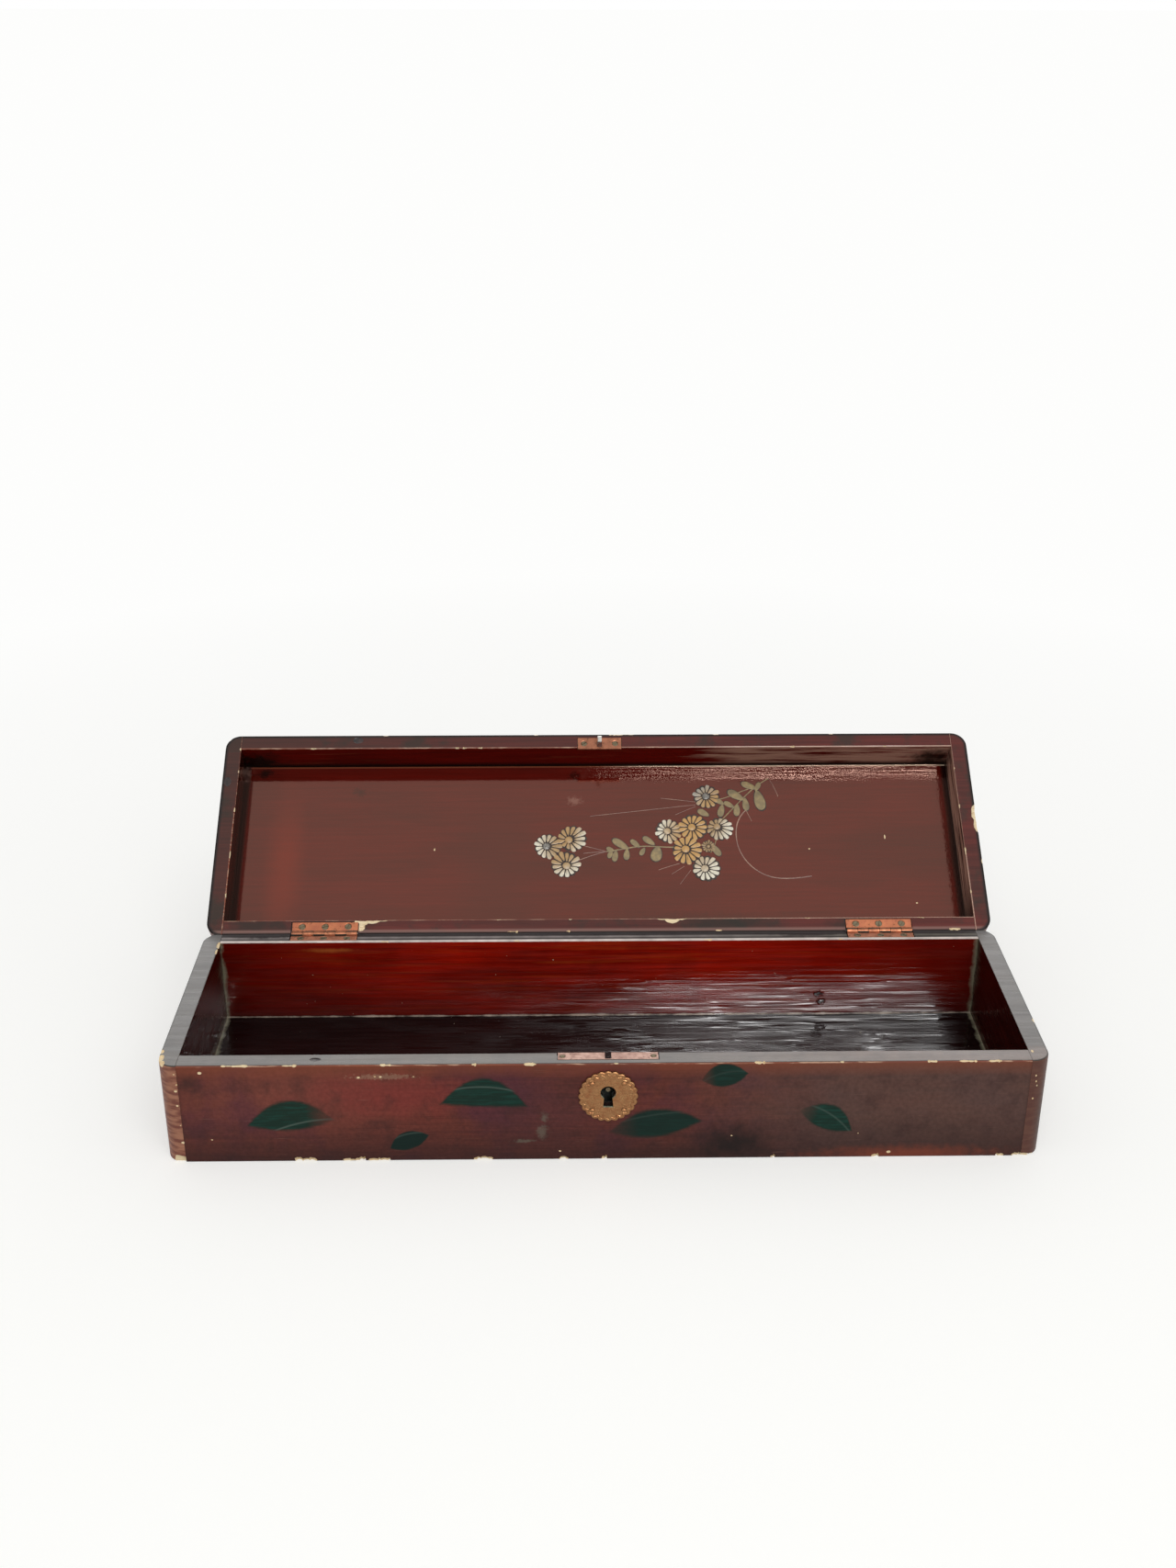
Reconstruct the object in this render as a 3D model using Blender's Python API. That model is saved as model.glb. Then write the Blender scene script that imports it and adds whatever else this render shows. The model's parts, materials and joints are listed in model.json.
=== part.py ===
"""A lacquered wooden box with a shallow lid on two butt hinges and a half-mortise box lock.

X runs along the box, Y from its front to its back and Z up. The origin is the middle of the
underside. The lid's pieces are drawn where they lie when the lid is shut, and they hang from an
empty on the hinge axis that swings them open.
"""

import math
from collections import namedtuple

import bmesh
import bpy
from mathutils import Matrix, Vector

MM = 0.001

# Fits
SEAT_GAP = 0.2 * MM  # left between pieces that are glued or seated on each other
CUT_MARGIN = 1 * MM  # how far a cutter runs past the face it cuts

# Case
BOX_WIDTH = 305 * MM
BOX_DEPTH = 90 * MM
BOX_HEIGHT = 39.8 * MM
BOX_WALL = 6.75 * MM
BOTTOM_THICKNESS = 6.2 * MM
BOTTOM_LIP = 3.2 * MM  # how far the bottom board runs into the rebate in each wall
CORNER_RADIUS = 6 * MM
TONGUE_LENGTH = 2.5 * MM
TONGUE_THICKNESS = 2.4 * MM
TONGUE_SHOULDER = 3 * MM  # wall left above and below each tongue

# Lid
LID_WALL = 6.4 * MM
LID_RIM_HEIGHT = 15 * MM
LID_TOP_THICKNESS = 5.2 * MM
LID_EDGE_ROUND = 2 * MM
PARTING_GAP = 0.4 * MM  # between the two rims when the lid is shut
LID_OPEN = math.radians(144)

# Hinges
FITTINGS_OFFSET = 1 * MM  # the hinges, lock and strike sit this far right of the middle
HINGE_FROM_END = 45 * MM  # middle of each hinge from its end of the box, before the offset
HINGE_LENGTH = 25.4 * MM
HINGE_INSET = 0.6 * MM  # hinge axis in front of the box's back face
LEAF_THICKNESS = 0.8 * MM
LEAF_EDGE = 0.3 * MM  # metal left on either side of a screw hole
KNUCKLES = 6  # shared in turn between the two leaves
KNUCKLE_RADIUS = 1.15 * MM
KNUCKLE_GAP = 0.2 * MM  # between a knuckle and its neighbour or the other leaf
BARREL_CLEARANCE = 0.3 * MM  # round the barrel, in the wood
PIN_RADIUS = 0.6 * MM
PIN_CLEARANCE = 0.12 * MM
STOP_GAP = 0.3 * MM  # between the bevelled back edges when the lid rests open
SCREW_SPACING = 8.9 * MM

# Lock
LOCK_FACE_LENGTH = 34.4 * MM
LOCK_DEPTH = 4.2 * MM  # of the rim's thickness, from its inner face
LOCK_PLATE = 1 * MM
LOCK_CASE_WIDTH = 26 * MM
LOCK_CASE_HEIGHT = 20 * MM
LOCK_CASE_WALL = 0.8 * MM
LOCK_CAP_THICKNESS = 0.5 * MM
LOCK_NAIL_INSET = 1.6 * MM  # from each end of the lock's face
LOCK_CLEARANCE = 0.3 * MM  # round the bolt and the staple
STAPLE_SLOT_BRIDGE = 0.4 * MM  # face plate left in front of the staple's slot
BOLT_THICKNESS = 1 * MM
BOLT_BAR_HEIGHT = 2.4 * MM
BOLT_THROW = 3.5 * MM
BOLT_SET_BACK = 0.5 * MM  # nose to staple, with the bolt drawn back
BOLT_WEB = 0.8 * MM  # metal left round the guide slot
TALON_WIDTH = 3 * MM  # notch that the key's bit pushes on
TALON_DEPTH = 1.2 * MM
BOLT_FOOT = 6 * MM  # lower bar past the middle of the lock
STUD_RADIUS = 0.6 * MM
SPRING_THICKNESS = 0.4 * MM
SPRING_WIDTH = 1.4 * MM
SPRING_FOOT = 8 * MM
SPRING_BEND = 3.4 * MM
SPRING_REACH = 3.5 * MM
KEYHOLE_DROP = 11.4 * MM  # middle of the round part, below the rim
KEYHOLE_RADIUS = 2.7 * MM
KEYHOLE_WAIST = 2.5 * MM
KEYHOLE_FOOT_WIDTH = 3.6 * MM
KEYHOLE_FOOT_DROP = 5.9 * MM  # foot of the skirt below the middle of the round part
KEYHOLE_EASE = 0.3 * MM  # by which the hole in the wood is wider than the one in the escutcheon
KEY_POST_RADIUS = 0.8 * MM
KEY_POST_SET_BACK = 1 * MM  # tip of the post behind the front face

# Escutcheon
ESCUTCHEON_DROP = 13 * MM  # its middle below the rim
ESCUTCHEON_RADIUS = 10.25 * MM
ESCUTCHEON_THICKNESS = 0.8 * MM
ESCUTCHEON_LOBES = 24
ESCUTCHEON_LOBE_DEPTH = 0.6 * MM
ESCUTCHEON_PIN_CIRCLE = 7.7 * MM
ESCUTCHEON_PINS = 4

# Strike on the lid
STRIKE_LENGTH = 18 * MM
STRIKE_WIDTH = 5.2 * MM
STRIKE_OVERHANG = 0.5 * MM  # past the inner face of the lid's front rail
STRIKE_THICKNESS = 0.8 * MM
STRIKE_SCREW_SPACING = 12.8 * MM
STAPLE_THICKNESS = 1.6 * MM
STAPLE_LEG = 0.75 * MM
STAPLE_BOW = 1 * MM  # thickness of the bar under the bolt
STAPLE_TANG = 2 * MM  # width and depth of the tang set in the rail

# Smoothness of round shapes
CORNER_STEPS = 6
EDGE_STEPS = 3
ROUND_STEPS = 20
FASTENER_STEPS = 12
LOBE_STEPS = 4
KEYHOLE_STEPS = 14
SMOOTH_ANGLE = math.radians(35)
MERGE_DISTANCE = 0.001 * MM

# Fasteners, whose own origin is the middle of the head's outer face
Fastener = namedtuple("Fastener", "head_radius head_height shank_radius length")
HINGE_SCREW = Fastener(head_radius=1.3 * MM, head_height=0.7 * MM, shank_radius=0.65 * MM, length=5 * MM)
STRIKE_SCREW = Fastener(head_radius=1.2 * MM, head_height=0.7 * MM, shank_radius=0.6 * MM, length=5 * MM)
LOCK_NAIL = Fastener(head_radius=1 * MM, head_height=0.6 * MM, shank_radius=0.5 * MM, length=6 * MM)
FASTENER_GAP = 0.15 * MM
FASTENER_POINT = 1 * MM
PIN_HEAD_RADIUS = 0.9 * MM
PIN_HEAD_HEIGHT = 0.45 * MM
PIN_SHANK_RADIUS = 0.45 * MM

# Places that several pieces share
INNER_X = BOX_WIDTH / 2 - BOX_WALL
INNER_FRONT = BOX_WALL - BOX_DEPTH / 2
FRONT_FACE = -BOX_DEPTH / 2
LID_Z = BOX_HEIGHT + PARTING_GAP
LID_TOP_Z = LID_Z + LID_RIM_HEIGHT + SEAT_GAP
HINGE_SPACING = BOX_WIDTH - 2 * HINGE_FROM_END
HINGE_Y = BOX_DEPTH / 2 - HINGE_INSET
HINGE_Z = BOX_HEIGHT + PARTING_GAP / 2
LEAF_BACK = KNUCKLE_RADIUS + KNUCKLE_GAP
LEAF_WIDTH = LEAF_BACK + 2 * (HINGE_SCREW.head_radius + FASTENER_GAP + LEAF_EDGE)
LOCK_X = FITTINGS_OFFSET
LOCK_FRONT = INNER_FRONT - LOCK_DEPTH
BOLT_BACK = INNER_FRONT - LOCK_PLATE - SEAT_GAP
BOLT_FRONT = BOLT_BACK - BOLT_THICKNESS
NOSE_TOP = BOX_HEIGHT - LOCK_PLATE - SEAT_GAP
NOSE_BOTTOM = NOSE_TOP - BOLT_BAR_HEIGHT
STAPLE_BOTTOM = NOSE_BOTTOM - LOCK_CLEARANCE - STAPLE_BOW
STAPLE_BACK = BOLT_BACK + LOCK_CLEARANCE + STAPLE_LEG
STAPLE_FRONT = BOLT_FRONT - LOCK_CLEARANCE - STAPLE_LEG
BAR_TOP = STAPLE_BOTTOM - LOCK_CLEARANCE
BAR_BOTTOM = BAR_TOP - BOLT_BAR_HEIGHT
KEYHOLE_Z = BOX_HEIGHT - KEYHOLE_DROP

# From an outline's own plane and depth to one that faces along Y
FACING_Y = Matrix(((1, 0, 0, 0), (0, 0, 1, 0), (0, 1, 0, 0), (0, 0, 0, 1)))
HEAD_UP = Matrix.Identity(4)
HEAD_DOWN = Matrix.Rotation(math.pi, 4, "X")
HEAD_FORWARD = Matrix.Rotation(math.pi / 2, 4, "X")


def new_material(name, colour, roughness, metallic):
    material = bpy.data.materials.new(name)
    material.use_nodes = True
    shader = material.node_tree.nodes["Principled BSDF"]
    shader.inputs["Base Color"].default_value = (*colour, 1)
    shader.inputs["Roughness"].default_value = roughness
    shader.inputs["Metallic"].default_value = metallic
    return material


def add_piece(name, shape, material, pivot=None, origin=(0, 0, 0)):
    """Makes a closed shape into a named object, hung from a pivot or set at an origin of its own."""
    place = pivot.location if pivot else Vector(origin)
    bmesh.ops.recalc_face_normals(shape, faces=shape.faces)
    shape.transform(Matrix.Translation(-place))
    mesh = bpy.data.meshes.new(name)
    shape.to_mesh(mesh)
    shape.free()
    mesh.shade_smooth()
    mesh.set_sharp_from_angle(angle=SMOOTH_ANGLE)
    mesh.materials.append(material)
    piece = bpy.data.objects.new(name, mesh)
    piece.parent = pivot
    piece.location = (0, 0, 0) if pivot else place
    bpy.context.scene.collection.objects.link(piece)
    return piece


def add_helper(name, shape, pivot=None):
    """A shape that only cuts or joins, and is never shown."""
    helper = add_piece(name, shape, None, pivot)
    helper.hide_render = True
    helper.display_type = "WIRE"
    return helper


def combine(piece, helper, operation):
    step = piece.modifiers.new(helper.name, "BOOLEAN")
    step.operation = operation
    step.solver = "EXACT"
    step.object = helper


def cut(helper, *pieces):
    for piece in pieces:
        combine(piece, helper, "DIFFERENCE")


def block(shape, x, y, z, turn=Matrix.Identity(4)):
    """Adds a box between pairs of limits, which may be given in either order."""
    limits = Vector(x), Vector(y), Vector(z)
    middle = Vector([sum(pair) / 2 for pair in limits])
    sides = Vector([abs(pair[1] - pair[0]) for pair in limits])
    stretch = Matrix.Diagonal((*sides, 1))
    bmesh.ops.create_cube(shape, size=1, matrix=turn @ Matrix.Translation(middle) @ stretch)
    return shape


def rod(shape, radius, x, y, z, steps=ROUND_STEPS):
    """Adds a cylinder along X between a pair of limits."""
    place = Matrix.Translation((sum(x) / 2, y, z)) @ Matrix.Rotation(math.pi / 2, 4, "Y")
    bmesh.ops.create_cone(
        shape, cap_ends=True, segments=steps, radius1=radius, radius2=radius, depth=x[1] - x[0], matrix=place
    )
    return shape


def prism(shape, outline, frame, low, high):
    """Adds a flat outline drawn out between two depths of its own frame."""
    face = shape.faces.new([shape.verts.new(frame @ Vector((u, v, low))) for u, v in outline])
    drawn = bmesh.ops.extrude_face_region(shape, geom=[face])["geom"]
    moved = [item for item in drawn if isinstance(item, bmesh.types.BMVert)]
    bmesh.ops.translate(shape, vec=frame.to_3x3() @ Vector((0, 0, high - low)), verts=moved)
    return shape


def lathe(shape, profile, place):
    """Adds a profile of radius and height turned about its own Z axis."""
    before = set(shape.verts)
    points = [shape.verts.new((radius, 0, height)) for radius, height in profile]
    edges = [shape.edges.new(pair) for pair in zip(points, points[1:])]
    bmesh.ops.spin(
        shape, geom=points + edges, cent=(0, 0, 0), axis=(0, 0, 1), angle=2 * math.pi, steps=FASTENER_STEPS
    )
    turned = [point for point in shape.verts if point not in before]
    bmesh.ops.remove_doubles(shape, verts=turned, dist=MERGE_DISTANCE)
    turned = [point for point in shape.verts if point not in before]
    bmesh.ops.transform(shape, matrix=place, verts=turned)
    return shape


def edges_at(shape, axis, place):
    """Edges that lie at one place along the axis of a letter."""
    return [
        edge
        for edge in shape.edges
        if all(math.isclose(getattr(end.co, axis), place, abs_tol=MERGE_DISTANCE) for end in edge.verts)
    ]


def running_along(edges, axis):
    """Those edges whose ends are apart along the axis of a letter."""
    return [
        edge
        for edge in edges
        if abs(getattr(edge.verts[1].co, axis) - getattr(edge.verts[0].co, axis)) > MERGE_DISTANCE
    ]


def round_edges(shape, edges, radius, steps):
    bmesh.ops.bevel(
        shape, geom=edges, offset=radius, offset_type="OFFSET", segments=steps, profile=0.5, affect="EDGES"
    )
    return shape


def fastener(shape, kind, place):
    """A countersunk screw or nail, flush with the face it holds."""
    profile = (
        (0, 0),
        (kind.head_radius, 0),
        (kind.shank_radius, -kind.head_height),
        (kind.shank_radius, FASTENER_POINT - kind.length),
        (0, -kind.length),
    )
    return lathe(shape, profile, place)


def fastener_hole(shape, kind, place):
    head_radius = kind.head_radius + FASTENER_GAP
    shank_radius = kind.shank_radius + FASTENER_GAP
    depth = -kind.length - FASTENER_GAP
    profile = (
        (0, CUT_MARGIN),
        (head_radius, CUT_MARGIN),
        (head_radius, 0),
        (shank_radius, -kind.head_height),
        (shank_radius, depth),
        (0, depth),
    )
    return lathe(shape, profile, place)


def keyhole_outline(grow=0):
    """A round hole over a flared skirt, about the middle of the round part."""
    radius = KEYHOLE_RADIUS + grow
    half_foot = KEYHOLE_FOOT_WIDTH / 2 + grow
    foot = -KEYHOLE_FOOT_DROP - grow
    waist = math.asin((KEYHOLE_WAIST / 2 + grow) / radius)
    start = waist - math.pi / 2
    sweep = 2 * (math.pi - waist)
    turns = [start + sweep * step / KEYHOLE_STEPS for step in range(KEYHOLE_STEPS + 1)]
    round_part = [(radius * math.cos(turn), radius * math.sin(turn)) for turn in turns]
    return round_part + [(-half_foot, foot), (half_foot, foot)]


def keyhole(grow, low, high):
    """A keyhole-shaped bar in its place in the front of the box."""
    outline = [(LOCK_X + u, KEYHOLE_Z + v) for u, v in keyhole_outline(grow)]
    return prism(bmesh.new(), outline, FACING_Y, low, high)


def scallop_outline():
    """A rim of round lobes that meet in cusps."""
    steps = ESCUTCHEON_LOBES * LOBE_STEPS
    points = []
    for step in range(steps):
        turn = 2 * math.pi * step / steps
        dip = 1 - abs(math.cos(ESCUTCHEON_LOBES * turn / 2))
        radius = ESCUTCHEON_RADIUS - ESCUTCHEON_LOBE_DEPTH * dip
        points.append((radius * math.cos(turn), radius * math.sin(turn)))
    return points


def build_walls(names, wall, z, tongue_z, material, pivot):
    """Front, back, left and right walls: the ends run through, and hold the other two on blind tongues."""
    front_name, back_name, left_name, right_name = names
    half_width = BOX_WIDTH / 2
    half_depth = BOX_DEPTH / 2
    inner_x = half_width - wall
    inner_y = half_depth - wall
    radius = min(CORNER_RADIUS, wall - SEAT_GAP)
    grooves = bmesh.new()
    walls = []
    for name, side in ((front_name, -1), (back_name, 1)):
        span = (SEAT_GAP - inner_x, inner_x - SEAT_GAP)
        board = block(bmesh.new(), span, (side * inner_y, side * half_depth), z)
        wall_piece = add_piece(name, board, material, pivot)
        middle = side * (half_depth - wall / 2)
        tongues = bmesh.new()
        for end in (-1, 1):
            reach = end * (inner_x + TONGUE_LENGTH)
            grip = TONGUE_THICKNESS / 2
            slack = grip + SEAT_GAP
            block(tongues, (end * (inner_x - CUT_MARGIN), reach), (middle - grip, middle + grip), tongue_z)
            block(
                grooves,
                (end * (inner_x - CUT_MARGIN), reach + end * SEAT_GAP),
                (middle - slack, middle + slack),
                (tongue_z[0] - SEAT_GAP, tongue_z[1] + SEAT_GAP),
            )
        combine(wall_piece, add_helper(name + "_tongues", tongues, pivot), "UNION")
        walls.append(wall_piece)
    groove_cutter = add_helper(front_name + "_grooves", grooves, pivot)
    for name, side in ((left_name, -1), (right_name, 1)):
        outer = side * half_width
        board = block(bmesh.new(), (side * inner_x, outer), (-half_depth, half_depth), z)
        round_edges(board, running_along(edges_at(board, "x", outer), "z"), radius, CORNER_STEPS)
        walls.append(add_piece(name, board, material, pivot))
        cut(groove_cutter, walls[-1])
    return walls


def stop_bevel(name, side, pivot):
    """Cutter for the bevel on a back edge: the case's (side -1) and the lid's (side 1) meet when open."""
    turn = Matrix.Rotation(side * (LID_OPEN / 2 - math.pi / 2), 4, "X")
    half_width = BOX_WIDTH / 2 + CUT_MARGIN
    reach = BOX_WALL
    place = Matrix.Translation((0, HINGE_Y, HINGE_Z)) @ turn
    shape = block(bmesh.new(), (-half_width, half_width), (-STOP_GAP / 2, reach), (-reach, reach), place)
    return add_helper(name, shape, pivot)


def build_case(lacquer):
    """Four walls rebated round a bottom board."""
    walls = build_walls(
        ("front_board", "back_board", "left_end_board", "right_end_board"),
        BOX_WALL,
        (0, BOX_HEIGHT),
        (BOTTOM_THICKNESS + TONGUE_SHOULDER, BOX_HEIGHT - TONGUE_SHOULDER),
        lacquer,
        None,
    )
    half_x = INNER_X + BOTTOM_LIP
    half_y = BOTTOM_LIP - INNER_FRONT
    bottom = block(bmesh.new(), (-half_x, half_x), (-half_y, half_y), (0, BOTTOM_THICKNESS))
    add_piece("bottom_board", bottom, lacquer)
    half_x += SEAT_GAP
    half_y += SEAT_GAP
    rebate = block(
        bmesh.new(), (-half_x, half_x), (-half_y, half_y), (-CUT_MARGIN, BOTTOM_THICKNESS + SEAT_GAP)
    )
    cut(add_helper("bottom_rebate", rebate), *walls)
    cut(stop_bevel("case_stop_bevel", -1, None), *walls[1:])
    return walls


def build_lid(lacquer, pivot):
    """Four rails under a round-edged top board."""
    rails = build_walls(
        ("lid_front_rail", "lid_back_rail", "lid_left_rail", "lid_right_rail"),
        LID_WALL,
        (LID_Z, LID_Z + LID_RIM_HEIGHT),
        (LID_Z + TONGUE_SHOULDER, LID_Z + LID_RIM_HEIGHT - TONGUE_SHOULDER),
        lacquer,
        pivot,
    )
    cut(stop_bevel("lid_stop_bevel", 1, pivot), *rails[1:])
    half_width = BOX_WIDTH / 2
    half_depth = BOX_DEPTH / 2
    top_z = LID_TOP_Z + LID_TOP_THICKNESS
    board = block(bmesh.new(), (-half_width, half_width), (-half_depth, half_depth), (LID_TOP_Z, top_z))
    radius = min(CORNER_RADIUS, LID_WALL - SEAT_GAP)
    round_edges(board, running_along(board.edges, "z"), radius, CORNER_STEPS)
    round_edges(board, edges_at(board, "z", top_z), LID_EDGE_ROUND, EDGE_STEPS)
    add_piece("lid_top_board", board, lacquer, pivot)
    return rails


def build_leaf(name, middle, side, first_knuckle, screw_holes, copper, pivot):
    """One leaf, with its own half of the knuckles: side -1 lies on the case and side 1 on the lid."""
    start = middle - HINGE_LENGTH / 2
    ends = (start, start + HINGE_LENGTH)
    thickness = (HINGE_Z + side * PARTING_GAP / 2, HINGE_Z + side * (PARTING_GAP / 2 + LEAF_THICKNESS))
    plate = block(bmesh.new(), ends, (HINGE_Y - LEAF_WIDTH, HINGE_Y - LEAF_BACK), thickness)
    leaf = add_piece(name, plate, copper, pivot)
    pitch = HINGE_LENGTH / KNUCKLES
    tabs = bmesh.new()
    knuckles = bmesh.new()
    for number in range(first_knuckle, KNUCKLES, 2):
        span = (start + number * pitch + KNUCKLE_GAP / 2, start + (number + 1) * pitch - KNUCKLE_GAP / 2)
        block(tabs, span, (HINGE_Y - LEAF_BACK - LEAF_EDGE, HINGE_Y), thickness)
        rod(knuckles, KNUCKLE_RADIUS, span, HINGE_Y, HINGE_Z)
    combine(leaf, add_helper(name + "_tabs", tabs, pivot), "UNION")
    combine(leaf, add_helper(name + "_knuckles", knuckles, pivot), "UNION")
    bore_ends = (ends[0] - CUT_MARGIN, ends[1] + CUT_MARGIN)
    bore = rod(bmesh.new(), PIN_RADIUS + PIN_CLEARANCE, bore_ends, HINGE_Y, HINGE_Z)
    cut(add_helper(name + "_bore", bore, pivot), leaf)
    cut(screw_holes, leaf)


def build_hinge_side(owner, side, back_wall, copper, iron, pivot):
    """The case's or the lid's half of both hinges, with the recesses for them in the back wall."""
    face_z = HINGE_Z + side * PARTING_GAP / 2
    head = HEAD_UP if side < 0 else HEAD_DOWN
    screw_y = HINGE_Y - (LEAF_BACK + LEAF_WIDTH) / 2
    half_length = HINGE_LENGTH / 2 + SEAT_GAP
    recesses = bmesh.new()
    barrels = bmesh.new()
    holes = bmesh.new()
    for hand, direction in (("left", -1), ("right", 1)):
        middle = FITTINGS_OFFSET + direction * HINGE_SPACING / 2
        span = (middle - half_length, middle + half_length)
        depth = (face_z - side * CUT_MARGIN, face_z + side * (LEAF_THICKNESS + SEAT_GAP))
        block(recesses, span, (HINGE_Y - LEAF_WIDTH - SEAT_GAP, HINGE_Y), depth)
        rod(barrels, KNUCKLE_RADIUS + BARREL_CLEARANCE, span, HINGE_Y, HINGE_Z)
        for number in (-1, 0, 1):
            place = Matrix.Translation((middle + number * SCREW_SPACING, screw_y, face_z)) @ head
            fastener_hole(holes, HINGE_SCREW, place)
            screw = fastener(bmesh.new(), HINGE_SCREW, place)
            add_piece(f"hinge_{hand}_{owner}_screw_{number + 2}", screw, iron, pivot)
    hole_cutter = add_helper(owner + "_hinge_screw_holes", holes, pivot)
    cut(add_helper(owner + "_hinge_recesses", recesses, pivot), back_wall)
    cut(add_helper(owner + "_hinge_barrels", barrels, pivot), back_wall)
    cut(hole_cutter, back_wall)
    for hand, direction in (("left", -1), ("right", 1)):
        middle = FITTINGS_OFFSET + direction * HINGE_SPACING / 2
        first_knuckle = 0 if side * direction < 0 else 1
        build_leaf(f"hinge_{hand}_{owner}_leaf", middle, side, first_knuckle, hole_cutter, copper, pivot)


def build_hinge_pins(iron):
    for hand, direction in (("left", -1), ("right", 1)):
        middle = FITTINGS_OFFSET + direction * HINGE_SPACING / 2
        span = (middle - HINGE_LENGTH / 2, middle + HINGE_LENGTH / 2)
        add_piece(f"hinge_{hand}_pin", rod(bmesh.new(), PIN_RADIUS, span, HINGE_Y, HINGE_Z), iron)


def across(half):
    """Limits either side of the lock's middle."""
    return (LOCK_X - half, LOCK_X + half)


def build_lock_case(front_board, copper, iron):
    """Face plate and case in one, let into the rim and the inner face, with a cap over the works."""
    half_case = LOCK_CASE_WIDTH / 2
    half_face = LOCK_FACE_LENGTH / 2
    case_bottom = BOX_HEIGHT - LOCK_CASE_HEIGHT
    depth = (LOCK_FRONT, INNER_FRONT)
    pocket_depth = (LOCK_FRONT - SEAT_GAP, INNER_FRONT + CUT_MARGIN)
    over_rim = BOX_HEIGHT + CUT_MARGIN
    mortise_z = (case_bottom - SEAT_GAP, over_rim)
    mortise = block(bmesh.new(), across(half_case + SEAT_GAP), pocket_depth, mortise_z)
    cut(add_helper("lock_mortise", mortise), front_board)
    face_bottom = BOX_HEIGHT - LOCK_PLATE
    housing_z = (face_bottom - SEAT_GAP, over_rim)
    housing = block(bmesh.new(), across(half_face + SEAT_GAP), pocket_depth, housing_z)
    cut(add_helper("lock_face_housing", housing), front_board)

    box = block(bmesh.new(), across(half_case), depth, (case_bottom, BOX_HEIGHT))
    case = add_piece("lock_case", box, copper)
    face = block(bmesh.new(), across(half_face), depth, (face_bottom, BOX_HEIGHT))
    combine(case, add_helper("lock_face", face), "UNION")
    half_hollow = half_case - LOCK_CASE_WALL
    hollow_bottom = case_bottom + LOCK_CASE_WALL
    hollow = block(
        bmesh.new(),
        across(half_hollow),
        (LOCK_FRONT - CUT_MARGIN, INNER_FRONT - LOCK_PLATE),
        (hollow_bottom, face_bottom),
    )
    cut(add_helper("lock_hollow", hollow), case)
    slot = block(
        bmesh.new(),
        across(STAPLE_THICKNESS / 2 + LOCK_CLEARANCE),
        (LOCK_FRONT + STAPLE_SLOT_BRIDGE, INNER_FRONT + CUT_MARGIN),
        (STAPLE_BOTTOM - LOCK_CLEARANCE, over_rim),
    )
    cut(add_helper("lock_staple_slot", slot), case)

    cap = block(
        bmesh.new(),
        across(half_hollow - SEAT_GAP),
        (LOCK_FRONT, LOCK_FRONT + LOCK_CAP_THICKNESS),
        (hollow_bottom + SEAT_GAP, face_bottom - SEAT_GAP),
    )
    cap_piece = add_piece("lock_cap", cap, iron)
    cut(add_helper("lock_cap_keyhole", keyhole(0, LOCK_FRONT - CUT_MARGIN, BOLT_FRONT)), cap_piece)

    holes = bmesh.new()
    for number, end in ((1, -1), (2, 1)):
        spot = (LOCK_X + end * (half_face - LOCK_NAIL_INSET), INNER_FRONT - LOCK_DEPTH / 2, BOX_HEIGHT)
        place = Matrix.Translation(spot) @ HEAD_UP
        fastener_hole(holes, LOCK_NAIL, place)
        add_piece(f"lock_nail_{number}", fastener(bmesh.new(), LOCK_NAIL, place), iron)
    cut(add_helper("lock_nail_holes", holes), front_board, case)
    return case


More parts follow.
